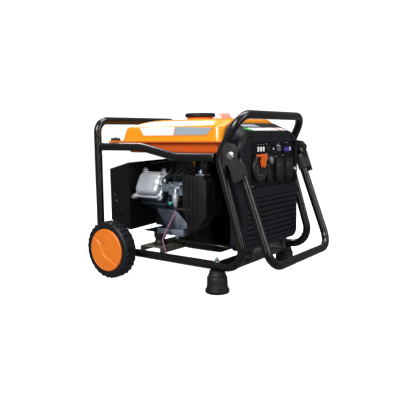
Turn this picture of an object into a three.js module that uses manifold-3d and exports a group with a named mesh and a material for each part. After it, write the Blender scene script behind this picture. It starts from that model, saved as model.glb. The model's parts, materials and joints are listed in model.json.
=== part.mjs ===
// Open-frame portable generator on two wheels, in millimetres, +Z up, control side towards -Y.
// Inside this file Y = 0 is the rear hoop's centreline; the finished group is shifted so that the
// origin is the middle of the footprint, on the floor.
import * as THREE from 'three';
import { mergeVertices } from 'three/addons/utils/BufferGeometryUtils.js';
import Module from 'manifold-3d';

const wasm = await Module();
wasm.setup();

// ---------- driving dimensions ----------
const gap = 0.3;                                  // left between pieces that touch
// sideClear: left between a flat of the tube's section and what seats on it, beyond the gap
const tube = { radius: 14, sides: 10, sideClear: 0.685 };
const frame = {
  halfWidth: 227,                                 // centre plane to rail centreline
  length: 646,                                    // rear hoop centreline to the front lower corner
  railZ: 86.6, rearTopZ: 558, rearBend: 45,
  kneeZ: 433, kneeBack: 105,                      // the uprights lean back to a knee
  topZ: 562.7, topBack: 36, topHalf: 211,         // front hoop's cross tube
  cornerBend: 62, kneeBend: 70, topBend: 58,
  sideRearZ: 463, sideFrontZ: 430.6, sideStepRear: 215, sideStepFront: 368,
};
const wheel = { radius: 101.5, width: 50, boreR: 8.3, axleR: 8, y: -110.6, discR: 75.5, standOff: 17 };
const foot = { topR: 25, bodyR: 33, flangeR: 39, behindCorner: 115 };
const handle = {
  pivotBack: 52.7, pivotZ: 439, legHalf: 208.5, reach: 363, tubeR: 13.5, lean: 20.4, bend: 57,
  legStart: 16, plate: 3, boltR: 6, boltHole: 6.4,
};
const tank = {
  halfWidth: 202, rearY: -23, seamZ: 480.2, flange: 3.2, wallRearY: -84,
  shoulderZ: 531, topZ: 555, floorZ: 441, wall: 2.5, behindHood: 3.6, padInset: 20,
};
const cap = { y: -303, radius: 55.5, height: 15.7, neckR: 40, collarR: 50, collarTopR: 45, collarZ: 565 };
const housing = {
  halfWidth: 193, faceSetback: 43, bottomZ: 126, topZ: 507, rise: 32, depthTop: 71, depthLow: 43,
  topCorner: 60, lowCorner: 32, wall: 3,
};
const panel = { left: -141, right: 174, low: 325, high: 477, recess: 6, plate: 3, lap: 4 };
const crank = { x: 12, z: 236, shaftR: 17.5, boreR: 18.2 };
const tilt = 27;                                  // cylinder axis above the horizontal, degrees
const cylinder = { y: -203, halfY: 62, halfS: 58, start: 74, end: 196, finPitch: 12, fin: 4 };
const headCover = { plateY: 60, plateS: 50, bodyY: 55, bodyS: 44, height: 27, lugR: 9 };
const fan = {
  left: -132, right: 156, low: 84, high: 424, lowCorner: 90, highCorner: 40,
  wall: 3, back: -290, depth: 135, lip: 22, hubHole: 24,
};
const shield = { x: -200, right: 130, t: 2, foldY: -125 };
const pipe = { x: 18, z: 272, radius: 17 };       // exhaust from the engine to the silencer

// ---------- places worked out from them ----------
const frontCornerY = -frame.length;
const kneeY = frontCornerY + frame.kneeBack;
const topY = frontCornerY + frame.topBack;
const faceY = frontCornerY + housing.faceSetback; // front face of the control housing
const panelY = faceY + panel.recess;
const hoodBackY = faceY + housing.depthTop;
const tankFrontY = hoodBackY + tank.behindHood;
const footY = frontCornerY + foot.behindCorner;
const pivotY = frontCornerY + handle.pivotBack;
const railTopZ = frame.railZ + tube.radius;
const tubeFlat = tube.radius * Math.cos(Math.PI / tube.sides);   // the section's flats face left and right
const railInnerX = frame.halfWidth - tubeFlat - tube.sideClear;
const railOuterX = frame.halfWidth + tubeFlat + tube.sideClear;
const wheelX = railOuterX + wheel.standOff + wheel.width / 2;
const caseLeft = crank.x - 97;
const base = { top: 164.2, plate: 3.2 };          // engine base plate
const cos = (deg) => Math.cos(THREE.MathUtils.degToRad(deg));
const sin = (deg) => Math.sin(THREE.MathUtils.degToRad(deg));

// ---------- materials ----------
const finish = (color, roughness, metalness = 0) =>
  new THREE.MeshStandardMaterial({ color, roughness, metalness });
const finishes = {
  frame: finish('#17181a', 0.35, 0.3), tyre: finish('#1b1b1c', 0.85), orange: finish('#f08a1d', 0.3),
  orangeDeep: finish('#d9541e', 0.35), blackPlastic: finish('#232427', 0.55), rubber: finish('#151515', 0.8),
  panel: finish('#1b1c22', 0.45), casting: finish('#c3c5c8', 0.4, 0.8), zinc: finish('#b9bec2', 0.35, 0.9),
  sheet: finish('#15161a', 0.4, 0.4), steel: finish('#8f9398', 0.35, 1), brass: finish('#b8863a', 0.35, 1),
  hose: finish('#c98fae', 0.35), chrome: finish('#d8dadd', 0.15, 1), grey: finish('#6d7078', 0.5),
  copper: finish('#8c4f2b', 0.45, 0.9), galvanised: finish('#a39a8a', 0.55, 0.7),
};

// ---------- small tools ----------
const root = new THREE.Group();

function add(name, geometry, material) {
  const mesh = new THREE.Mesh(geometry, material);
  mesh.name = name;
  root.add(mesh);
}

function toSolid(geometry) {
  const plain = geometry.clone();
  plain.deleteAttribute('normal');
  plain.deleteAttribute('uv');
  const merged = mergeVertices(plain, 1e-4);
  return new wasm.Manifold(new wasm.Mesh({
    numProp: 3,
    vertProperties: new Float32Array(merged.attributes.position.array),
    triVerts: new Uint32Array(merged.index.array),
  }));
}

function toGeometry(solid) {
  const mesh = solid.getMesh();
  const geometry = new THREE.BufferGeometry();
  geometry.setAttribute('position', new THREE.BufferAttribute(mesh.vertProperties.slice(), 3));
  geometry.setIndex(new THREE.BufferAttribute(mesh.triVerts.slice(), 1));
  return geometry;
}

// First geometry plus the rest joined to it, less every cut.
function build(parts, cuts = []) {
  let solid = toSolid(parts[0]);
  for (const part of parts.slice(1)) solid = solid.add(toSolid(part));
  for (const cut of cuts) solid = solid.subtract(toSolid(cut));
  return toGeometry(solid);
}

function box(x, y, z) {                            // each a pair: low, high
  return new THREE.BoxGeometry(x[1] - x[0], y[1] - y[0], z[1] - z[0])
    .translate((x[0] + x[1]) / 2, (y[0] + y[1]) / 2, (z[0] + z[1]) / 2);
}

function rod(from, to, radius, sides = 16) {       // cylinder between two points
  const a = new THREE.Vector3(...from);
  const b = new THREE.Vector3(...to);
  const turn = new THREE.Quaternion().setFromUnitVectors(
    new THREE.Vector3(0, 1, 0), b.clone().sub(a).normalize());
  return new THREE.CylinderGeometry(radius, radius, a.distanceTo(b), sides)
    .applyQuaternion(turn).translate(...a.add(b).multiplyScalar(0.5));
}

// Turned piece: profile of [radius, height] pairs, closed by itself or on the axis, put in the
// order that makes its faces point out.
function turned(profile, segments = 24) {
  const points = profile.map(([r, h]) => new THREE.Vector2(r, h));
  if (THREE.ShapeUtils.area(points) < 0) points.reverse();
  if (points[0].x > 0) points.push(points[0].clone());
  return new THREE.LatheGeometry(points, segments).rotateX(Math.PI / 2);   // axis now +Z
}
const alongX = (geometry) => geometry.rotateY(Math.PI / 2);
const alongY = (geometry) => geometry.rotateX(-Math.PI / 2);               // +Z becomes +Y

function outline(points) {
  return new THREE.Shape(points.map(([u, v]) => new THREE.Vector2(u, v)));
}

// Outline in (y, z), thickness along X from x0 to x1.
function sideSheet(points, x0, x1, holes = []) {
  const shape = outline(points);
  for (const [y, z, r] of holes) shape.holes.push(new THREE.Path().absarc(y, z, r, 0, Math.PI * 2, true));
  return new THREE.ExtrudeGeometry(shape, { depth: x1 - x0, bevelEnabled: false, curveSegments: 8 })
    .applyMatrix4(new THREE.Matrix4().set(0, 0, 1, x0, 1, 0, 0, 0, 0, 1, 0, 0, 0, 0, 0, 1));
}

// Outline in (x, z), from y0 back to y1.
function frontSheet(shape, y0, y1, steps = 1) {
  return new THREE.ExtrudeGeometry(shape, { depth: y1 - y0, bevelEnabled: false, curveSegments: 4, steps })
    .rotateX(Math.PI / 2).translate(0, y1, 0);
}

// Outline in (x, y), from z0 up to z1.
function flatSheet(points, z0, z1) {
  return new THREE.ExtrudeGeometry(outline(points), { depth: z1 - z0, bevelEnabled: false })
    .translate(0, 0, z0);
}

function roundedRect(left, right, low, high, rLow, rHigh = rLow) {
  const shape = new THREE.Shape();
  shape.moveTo(left + rLow, low);
  shape.lineTo(right - rLow, low);
  shape.absarc(right - rLow, low + rLow, rLow, -Math.PI / 2, 0);
  shape.lineTo(right, high - rHigh);
  shape.absarc(right - rHigh, high - rHigh, rHigh, 0, Math.PI / 2);
  shape.lineTo(left + rHigh, high);
  shape.absarc(left + rHigh, high - rHigh, rHigh, Math.PI / 2, Math.PI);
  shape.lineTo(left, low + rLow);
  shape.absarc(left + rLow, low + rLow, rLow, Math.PI, Math.PI * 1.5);
  return shape;
}

// A path of straight runs and bends. Its parameter steps from stop to stop, so that a straight run
// takes one step and a bend takes several.
class BentPath extends THREE.Curve {
  constructor(corners, bends, step = 18) {
    super();
    const points = corners.map((c) => new THREE.Vector3(...c));
    this.stops = [points[0]];
    for (let i = 1; i < points.length - 1; i += 1) this.addBend(points, i, bends[i - 1], step);
    this.stops.push(points[points.length - 1]);
  }

  addBend(points, i, radius, step) {
    const before = points[i - 1].clone().sub(points[i]).normalize();
    const after = points[i + 1].clone().sub(points[i]).normalize();
    const inside = before.angleTo(after);
    const turn = Math.PI - inside;
    const run = radius / Math.tan(inside / 2);
    const start = points[i].clone().addScaledVector(before, run);
    const centre = points[i].clone().add(
      before.clone().add(after).normalize().multiplyScalar(radius / Math.sin(inside / 2)));
    const arm = start.clone().sub(centre);
    const axis = before.clone().cross(after).normalize().negate();
    const count = Math.max(2, Math.ceil(THREE.MathUtils.radToDeg(turn) / step));
    for (let k = 0; k <= count; k += 1) {
      this.stops.push(centre.clone().add(arm.clone().applyAxisAngle(axis, (turn * k) / count)));
    }
  }

  getPoint(t, target = new THREE.Vector3()) {
    const place = t * (this.stops.length - 1);
    const i = Math.min(Math.floor(place), this.stops.length - 2);
    return target.lerpVectors(this.stops[i], this.stops[i + 1], place - i);
  }

  getTangent(t, target = new THREE.Vector3()) {
    const last = this.stops.length - 1;
    const i = Math.round(t * last);
    target.set(0, 0, 0);
    if (i > 0) target.add(this.stops[i].clone().sub(this.stops[i - 1]).normalize());
    if (i < last) target.add(this.stops[i + 1].clone().sub(this.stops[i]).normalize());
    return target.normalize();
  }

  getUtoTmapping(u) {
    return u;
  }
}

function ring(radius, sides) {
  return outline(Array.from({ length: sides }, (_, i) => {
    const angle = (i / sides) * Math.PI * 2;
    return [radius * Math.cos(angle), radius * Math.sin(angle)];
  }));
}

function bentTube(corners, bends, radius = tube.radius, sides = tube.sides, step = 18) {
  const path = new BentPath(corners, bends, step);
  return new THREE.ExtrudeGeometry(ring(radius, sides), {
    steps: path.stops.length - 1, extrudePath: path, bevelEnabled: false,
  });
}

function hoseAlong(points, radius, sides, steps) {
  const path = new THREE.CatmullRomCurve3(points.map((p) => new THREE.Vector3(...p)));
  return new THREE.ExtrudeGeometry(ring(radius, sides), { steps, extrudePath: path, bevelEnabled: false });
}

function mirrored(geometry) {                      // left-hand piece to right-hand piece
  const copy = geometry.clone().scale(-1, 1, 1);
  if (!copy.index) {
    const at = copy.attributes.position;
    copy.setIndex(Array.from({ length: at.count }, (_, i) => i));
  }
  const index = copy.index.array;
  for (let i = 0; i < index.length; i += 3) [index[i + 1], index[i + 2]] = [index[i + 2], index[i + 1]];
  return copy;
}

function addPair(name, left, material) {
  add(`${name}_left`, left, material);
  add(`${name}_right`, mirrored(left), material);
}

// ---------- frame ----------
const W = frame.halfWidth;
const rearFootZ = railTopZ + gap;

function frontHoop(radius) {
  const half = [
    [-W, tube.radius, frame.railZ],
    [-W, frontCornerY, frame.railZ],
    [-W, kneeY, frame.kneeZ],
    [-frame.topHalf, topY, frame.topZ],
  ];
  const other = half.map(([x, y, z]) => [-x, y, z]).reverse();
  const bends = [frame.cornerBend, frame.kneeBend, frame.topBend];
  return bentTube([...half, ...other], [...bends, ...bends.slice().reverse()], radius);
}

function buildFrame() {
  add('front_hoop_tube', frontHoop(tube.radius), finishes.frame);
  add('rear_hoop_tube', bentTube([
    [-W, 0, rearFootZ], [-W, 0, frame.rearTopZ], [W, 0, frame.rearTopZ], [W, 0, rearFootZ],
  ], [frame.rearBend, frame.rearBend]), finishes.frame);
  const kneeClear = toGeometry(toSolid(frontHoop(tube.radius + gap)));
  const rail = build([bentTube([
    [-W, -tube.radius - gap, frame.sideRearZ],
    [-W, -frame.sideStepRear, frame.sideRearZ],
    [-W, -frame.sideStepFront, frame.sideFrontZ],
    [-W, kneeY, frame.sideFrontZ],
  ], [120, 120])], [kneeClear, box([-2 * W, 0], [kneeY - 60, kneeY], [0, 2 * frame.kneeZ])]);
  addPair('side_rail', rail, finishes.frame);

  const memberEnd = railInnerX - gap;
  const wall = 3;
  const rear = { y: [-280, -185], z: [90, 112] };
  add('rear_cross_member', build(
    [box([-memberEnd, memberEnd], rear.y, rear.z)],
    [box([-2 * W, 2 * W], [rear.y[0] + wall, rear.y[1] - wall], [0, rear.z[1] - wall])],
  ), finishes.galvanised);

  const front = { y: [footY - 20, footY + 20], z: [62, 92] };
  const cuts = [box([-2 * W, 2 * W], [front.y[0] + wall, front.y[1] - wall], [0, front.z[1] - wall])];
  const brackets = [];
  for (const side of [-1, 1]) {
    cuts.push(rod([side * W, footY, 0], [side * W, footY, frame.railZ - tube.radius + gap], foot.bodyR + 4, 20));
    const x = [side * 110 - 14, side * 110 + 14];
    const upright = faceY + 13;
    brackets.push(box(x, [upright, footY], [front.z[1] - wall, front.z[1]]));
    brackets.push(box(x, [upright, upright + wall], [front.z[1] - wall, housing.bottomZ - gap]));
    brackets.push(box(x, [upright, upright + 22], [housing.bottomZ - gap - wall, housing.bottomZ - gap]));
  }
  add('front_cross_member', build(
    [box([-memberEnd, memberEnd], front.y, front.z), ...brackets], cuts), finishes.frame);
}

// ---------- wheels ----------
function buildWheels() {
  const plate = 4;
  const stub = build([
    box([-railOuterX - gap - plate, -railOuterX - gap], [wheel.y - 24, wheel.y + 24], [72, 126]),
    rod([-railOuterX - plate, wheel.y, wheel.radius], [-wheelX - 24, wheel.y, wheel.radius], wheel.axleR, 16),
    rod([-wheelX - 22.3, wheel.y, wheel.radius], [-wheelX - 24, wheel.y, wheel.radius], 13, 20),
  ]);
  addPair('axle_stub', stub, finishes.steel);
  const place = (geometry) => alongX(geometry).translate(-wheelX, wheel.y, wheel.radius);
  const R = wheel.radius;
  const h = wheel.width / 2;
  const tyre = turned([
    [64, -20], [80, -h + 1], [95, -h + 1.5], [R, -h + 8], [R, h - 8], [95, h - 1.5], [80, h - 1], [64, 20],
  ], 28);
  addPair('tyre', place(tyre), finishes.tyre);
  const rim = turned([
    [wheel.boreR, -h + 3], [18, -h + 3], [18, -6], [60, -6], [60, -19], [63.6, -19], [63.6, 19], [60, 19],
    [60, 6], [18, 6], [18, h - 3], [wheel.boreR, h - 3],
  ], 28);
  addPair('wheel_rim', place(rim), finishes.blackPlastic);
  const D = wheel.discR;                          // the outer side is towards -Z here, so towards -X
  const disc = turned([
    [0, -h - 4], [D - 12, -h - 3.6], [D, -h - 1], [D, -h + 0.6], [63.3, -h + 0.6], [63.3, -19.3],
    [60.3, -19.3], [60.3, -h + 0.6], [0, -h + 0.6],
  ], 28);
  addPair('hub_disc', place(disc), finishes.orange);
}

// ---------- feet ----------
function buildFeet() {
  const top = frame.railZ - tube.radius - gap;
  const profile = [
    [0, 0], [foot.flangeR - 2, 0], [foot.flangeR, 4], [foot.flangeR - 1, 12], [foot.bodyR + 1, 17],
    [foot.bodyR, 50], [foot.topR, top], [0, top],
  ];
  addPair('foot', turned(profile, 22).translate(-W, footY, 0), finishes.rubber);
}

// ---------- folding handle ----------
const onHandle = (geometry) => geometry
  .rotateX(THREE.MathUtils.degToRad(-handle.lean)).translate(0, pivotY, handle.pivotZ);

function buildHandle() {
  const plateIn = -(railOuterX - 5);              // outer face of the plate welded to the upright
  const armIn = plateIn - 0.6;
  const armOut = armIn - handle.plate;
  const fixed = build(
    [sideSheet([[pivotY + 45, 405], [pivotY + 45, 450], [pivotY + 17, 478], [pivotY - 8, 474],
      [pivotY - 24, 458], [pivotY - 20, 424], [pivotY + 14, 408]],
    plateIn, plateIn + handle.plate, [[pivotY, handle.pivotZ, handle.boltHole]])],
    [toGeometry(toSolid(frontHoop(tube.radius + gap))),
      box([-2 * W, 0], [pivotY + 33, 0], [0, 2 * frame.topZ])]);
  addPair('pivot_plate', fixed, finishes.sheet);

  const arm = [[-19, -82], [19, -82], [20, -10], [16, 12], [6, 20], [-6, 20], [-16, 12], [-20, -10]];
  const L = handle.legHalf;
  const r = handle.tubeR + gap;
  const sleeve = [-68, -30];                      // clears the fixed plate when folded out
  const bracket = build([
    sideSheet(arm, armOut, armIn),
    box([armOut, -L], [-r - 3, -r], sleeve),
    rod([-L, 0, sleeve[0]], [-L, 0, sleeve[1]], r + 3, 20),
  ], [
    rod([-L, 0, -400], [-L, 0, 0], r, 20),
    rod([armOut - 5, 0, 0], [armIn + 5, 0, 0], handle.boltHole, 16),
    box([-housing.halfWidth - 1.5, 0], [-50, 50], [-100, 50]),
  ]);
  addPair('handle_bracket', onHandle(bracket), finishes.sheet);
  add('handle_bar', onHandle(bentTube([
    [-L, 0, -handle.legStart], [-L, 0, -handle.reach], [L, 0, -handle.reach], [L, 0, -handle.legStart],
  ], [handle.bend, handle.bend], handle.tubeR)), finishes.frame);

  const at = (x) => [x, pivotY, handle.pivotZ];
  const nut = plateIn + handle.plate + gap;
  const bolt = build([
    rod(at(armOut - 6), at(nut + 6), handle.boltR, 16),
    rod(at(armOut - gap - 1.6), at(armOut - gap), 12.5, 20),
    rod(at(armOut - gap - 7.5), at(armOut - gap - 1), 10.2, 6),
    rod(at(nut), at(nut + 6.5), 10.2, 6),
  ]);
  addPair('pivot_bolt', bolt, finishes.chrome);
}

// ---------- fuel tank ----------
// Rings of one plan outline stacked at several heights: [z, half width, rear y, front y].
function lofted(levels, corner) {
  const [, a0, rear0, front0] = levels[0];
  const shape = roundedRect(-a0, a0, front0, rear0, corner);
  const geometry = new THREE.ExtrudeGeometry(shape, {
    depth: levels.length - 1, steps: levels.length - 1, bevelEnabled: false, curveSegments: 3,
  });
  const at = geometry.attributes.position;
  for (let i = 0; i < at.count; i += 1) {
    const [z, a, rear, front] = levels[Math.round(at.getZ(i))];
    const share = (at.getY(i) - front0) / (rear0 - front0);
    at.setXYZ(i, (at.getX(i) * a) / a0, front + share * (rear - front), z);
  }
  return geometry;
}
const inset = (levels, by) => levels.map(([z, a, rear, front]) => [z, a - by, rear - by, front + by]);

function buildTank() {
  const T = tank;
  const front = tankFrontY;
  const flange = (z0, z1) => flatSheet([
    [-T.halfWidth, T.rearY - 8], [-T.halfWidth + 8, T.rearY], [T.halfWidth - 8, T.rearY],
    [T.halfWidth, T.rearY - 8], [T.halfWidth, front + 8], [T.halfWidth - 8, front],
    [-T.halfWidth + 8, front], [-T.halfWidth, front + 8]], z0, z1);
  const upper = [
    [T.seamZ + gap, T.halfWidth - 7, T.wallRearY, front + 2],
    [T.shoulderZ, T.halfWidth - 15, T.wallRearY - 11, front + 3],
    [T.shoulderZ + 13, T.halfWidth - 34, T.wallRearY - 52, front + 4],
    [T.topZ, T.halfWidth - 62, T.wallRearY - 108, front + 9],
  ];
  const hollow = inset(upper, T.wall);
  hollow[0][0] -= 5;
  hollow[3][0] -= T.wall;
  const collar = turned([
    [0, T.topZ - 1], [cap.collarR, T.topZ - 1], [cap.collarTopR, cap.collarZ], [0, cap.collarZ],
  ], 20).translate(0, cap.y, 0);
  const neck = rod([0, cap.y, T.topZ - 20], [0, cap.y, cap.collarZ + 5], cap.neckR, 20);
  add('tank_upper_shell', build(
    [lofted(upper, 22), flange(T.seamZ + gap, T.seamZ + T.flange + gap), collar],
    [lofted(hollow, 20), neck]), finishes.orange);

  const lower = [
    [T.floorZ, T.halfWidth - 24, T.wallRearY - 24, front + 16],
    [T.floorZ + 5, T.halfWidth - 18, T.wallRearY - 18, front + 11],
    [T.seamZ, T.halfWidth - 12, T.wallRearY - 12, front + 6],
  ];
  const basin = inset(lower, T.wall);
  basin[0][0] += T.wall;
  basin[2][0] += 5;
  add('tank_lower_shell', build(
    [lofted(lower, 22), flange(T.seamZ - T.flange, T.seamZ)], [lofted(basin, 20)]), finishes.orangeDeep);

  const plug = cap.neckR - 0.6;
  add('fuel_cap', turned([
    [0, cap.collarZ - 8], [plug, cap.collarZ - 8], [plug, cap.collarZ + gap],
    [cap.radius - 1.5, cap.collarZ + gap], [cap.radius, cap.collarZ + 2],
    [cap.radius, cap.collarZ + cap.height - 3], [cap.radius - 3, cap.collarZ + cap.height],
    [0, cap.collarZ + cap.height],
  ], 24).translate(0, cap.y, 0), finishes.blackPlastic);

  // Two flat bars from side rail to side rail carry the tank.
  const barEnd = railInnerX - gap;
  const padTop = T.seamZ - T.flange - gap;
  const rearY = [T.rearY - 42, T.rearY - 8];
  const padX = T.halfWidth - T.padInset;
  const pads = [-1, 1].map((s) => rod([s * padX, T.rearY - 24, 466], [s * padX, T.rearY - 24, padTop], 11, 14));
  add('tank_strap_rear', build([box([-barEnd, barEnd], rearY, [461, 467]), ...pads]), finishes.frame);
  add('tank_strap_front', box([-barEnd, barEnd], [-512, -478].map((y) => y + front + 528),
    [T.floorZ - gap - 6, T.floorZ - gap]), finishes.frame);
}

// ---------- fuel line ----------
const tap = { x: -150, y: -388, top: tank.floorZ - gap };
const carb = { x: -170, y: -330, z: 318 };

function buildFuelLine() {
  const { x, y, top } = tap;
  add('fuel_tap', build([
    rod([x, y, top], [x, y, top - 8], 13, 16),
    rod([x, y, top - 6], [x, y, top - 34], 9, 14),
    rod([x, y, top - 30], [x, y, top - 44], 3.6, 10),
  ]), finishes.brass);
  const face = x - 9 - gap;
  add('fuel_tap_lever', build([
    rod([face - 6, y, top - 20], [face, y, top - 20], 8, 14),
    box([face - 6, face - 2], [y - 4, y + 24], [top - 24, top - 16]),
  ]), finishes.panel);
  const end = top - 44;
  add('fuel_hose', hoseAlong([
    [x, y, end - 2 * gap], [x, y, end - 8], [x - 2, y + 10, end - 19], [x - 6, y + 26, end - 27],
    [carb.x + 10, carb.y - 18, carb.z + 42], [carb.x + 10, carb.y - 14, carb.z + 24 + 3 * gap],
  ], 4, 8, 14), finishes.rubber);
}

// ---------- engine ----------
// Along the cylinder: d out from the crank, s up across it.
const onCylinder = (d, s) => [crank.x - d * cos(tilt) + s * sin(tilt), crank.z + d * sin(tilt) + s * cos(tilt)];
// A box in cylinder space: d, y and s ranges.
function tilted(d, y, s) {
  return inCylinder(box([-d[1], -d[0]], y, s));
}
const inCylinder = (geometry) => geometry
  .rotateY(THREE.MathUtils.degToRad(tilt)).translate(crank.x, 0, crank.z);
const tiltedRod = (d0, d1, y, s, r, sides) => inCylinder(rod([-d0, y, s], [-d1, y, s], r, sides));

function buildEngine() {
  const floor = base.top + gap;
  const rearFace = -150;
  const profile = outline([
    [caseLeft, floor], [crank.x + 95, floor], [crank.x + 102, floor + 14], [crank.x + 102, floor + 110],
    [crank.x + 72, floor + 142], [crank.x - 30, floor + 142], [caseLeft, floor + 80],
  ]);
  const bore = rod([crank.x, 0, crank.z], [crank.x, fan.back - 5, crank.z], crank.boreR, 18);
  const sump = rod([crank.x, -165, crank.z], [crank.x, fan.back + 14, crank.z], 55, 18);
  const seat = tilted([cylinder.start + 6, 300], [cylinder.y - 70, cylinder.y + 70], [-90, 90]);
  const footing = tilted([0, cylinder.start + 6], [cylinder.y - 50, cylinder.y + 50], [-48, 48]);
  add('crankcase', build([frontSheet(profile, fan.back, rearFace), footing], [bore, sump, seat]), finishes.casting);

  const C = cylinder;
  const y = [C.y - C.halfY, C.y + C.halfY];
  const start = C.start + 6 + gap;
  const parts = [tilted([start, C.end], [C.y - 46, C.y + 46], [-46, 46])];
  for (let d = start; d < C.end - 34; d += C.finPitch) {
    parts.push(tilted([d, d + C.fin], y, [-C.halfS, C.halfS]));
  }
  parts.push(tilted([C.end - 22, C.end], y, [-52, 52]));
  add('cylinder', build(parts, [tiltedRod(start - 8, start + 60, C.y, 0, 34, 24)]), finishes.casting);

  const V = headCover;
  const lugs = [[46, V.plateS + 4], [-42, V.plateS + 4], [62, -V.plateS], [-62, -V.plateS]];
  const c0 = C.end + gap;
  add('valve_cover', build([
    tilted([c0, c0 + 5], [C.y - V.plateY, C.y + V.plateY], [-V.plateS, V.plateS]),
    tilted([c0, c0 + V.height], [C.y - V.bodyY, C.y + V.bodyY], [-V.bodyS, V.bodyS]),
    ...lugs.map(([dy, across]) => tiltedRod(c0, c0 + 10, C.y + dy, across, V.lugR, 14)),
    inCylinder(rod([-c0 - 16, C.y - 50, 28], [-c0 - 16, C.y - 66, 28], 4, 10)),
  ]), finishes.casting);

  const [px, pz] = onCylinder(150, C.halfS + gap);
  const [qx, qz] = onCylinder(150, C.halfS + 40);
  add('spark_plug', build([
    rod([px, C.y - 30, pz], [qx, C.y - 30, qz], 9, 14),
    rod([qx, C.y - 30, qz - 6], [qx - 4, C.y - 58, qz - 2], 7, 12),
  ]), finishes.rubber);

  const portY = y[0] - gap;
  const drop = [carb.x - 12, carb.y];
  add('carburettor', build([
    box([carb.x - 20, carb.x + 20], [carb.y - 38, carb.y + 26], [carb.z - 20, carb.z + 24]),
    rod([carb.x, carb.y, carb.z], [carb.x, portY, carb.z], 15, 16),
    rod([...drop, carb.z - 44], [...drop, carb.z - 15], 15, 16),
    rod([...drop, carb.z - 56], [...drop, carb.z - 40], 4, 10),
  ]), finishes.zinc);

  const box0 = carb.y - 38 - gap;                 // rear face of the air filter
  const f = { x: [-196, -144], y: [box0 - 100, box0], z: [184, 368] };
  const filter = [
    [f.y[0], f.z[0] + 52], [f.y[0] + 40, f.z[0]], [f.y[1] - 26, f.z[0]], [f.y[1], f.z[0] + 66],
    [f.y[1], f.z[1]], [f.y[0] + 22, f.z[1]], [f.y[0], f.z[1] - 20]];
  add('air_filter_case', build([sideSheet(filter, ...f.x)], [
    box([f.x[0] + 3, f.x[1] - 3], [f.y[0] + 12, f.y[1] - 4], [f.z[0] + 70, f.z[1] - 24]),
    rod([carb.x, f.y[1] - 20, carb.z], [carb.x, f.y[1] + 5, carb.z], 14, 16),
  ]), finishes.blackPlastic);

  const [hx, hz] = onCylinder(c0 + 16, 28);
  add('breather_hose', hoseAlong([
    [hx, C.y - 66 - 2 * gap, hz], [hx - 1, C.y - 76, hz], [hx - 7, C.y - 94, hz + 3],
    [hx - 8, C.y - 122, hz + 8], [hx - 6, C.y - 148, hz + 9], [hx - 5, box0 + 2 * gap, hz + 9],
  ], 5, 8, 16), finishes.rubber);

  const drain = [...drop, carb.z - 56 - 3 * gap];
  add('drain_hose', hoseAlong([
    drain, [-184, -331, 252], [-190, -333, 240], [-198, -322, 214], [-203, -305, 180], [-204, -292, 158.5],
    [-204, -285.5, 139], [-204, -289, 122], [-204, -296, 103], [-204, -299, 92],
  ], 2.5, 8, 26), finishes.hose);

  // Base plate, its turned-down front edge and the gusset, bolted under the crankcase.
  const b = base;
  add('engine_bracket', build([
    flatSheet([[-188, -180], [188, -180], [188, -285], [-137, -285], [-137, -365], [-188, -365]],
      b.top - b.plate, b.top),
    box([-191, -188 + 0.1], [-365, -249], [157, 178]),
    sideSheet([[-215, 240], [-302, 240], [-352, 195], [-352, b.top - 1], [-262, b.top - 1]], -152, -148.8),
  ]), finishes.zinc);
  const low = 112 + gap;
  const high = b.top - b.plate - gap;
  const mount = turned([
    [0, low], [24, low], [24, low + 8], [17, low + 20], [22, low + 32], [22, high], [0, high]], 18);
  addPair('engine_mount', mount.translate(-166, -240, 0), finishes.rubber);

  // Silencer behind the engine, and the slotted sheet that covers two of its sides.
  add('muffler', build([
    frontSheet(roundedRect(-184, 62, 208, 372, 34), -118, -38),
    rod([pipe.x, -100, pipe.z], [pipe.x, rearFace + gap, pipe.z], pipe.radius, 16),
    rod([shield.x + shield.t + gap, -80, 230], [-180, -80, 230], 7, 10),
    rod([shield.x + shield.t + gap, -80, 350], [-180, -80, 350], 7, 10),
    rod([40, -60, 290], [40, -22, 290], 12, 14),
  ]), finishes.steel);
  const left = sideSheet([[-30, 190], [-30, 381], [shield.foldY, 406], [shield.foldY, 160]],
    shield.x, shield.x + shield.t);
  const front = frontSheet(outline([
    [shield.x, 160], [shield.right, 172], [shield.right, 413], [shield.x, 406]]),
  shield.foldY - shield.t, shield.foldY + 0.1);
  const slots = [];
  for (let i = 0; i < 8; i += 1) {
    slots.push(new THREE.BoxGeometry(20, 44, 5).rotateX(0.42).translate(shield.x, -84, 232 + i * 15));
  }
  const valveSide = tilted([cylinder.start, 260], [C.y - 90, C.y + 74], [-66, 66]);
  const pipeHole = rod([pipe.x, -200, pipe.z], [pipe.x, -120, pipe.z], pipe.radius + 2, 16);
  add('muffler_shield', build([left, front], [...slots, valveSide, pipeHole]), finishes.sheet);
}

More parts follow.
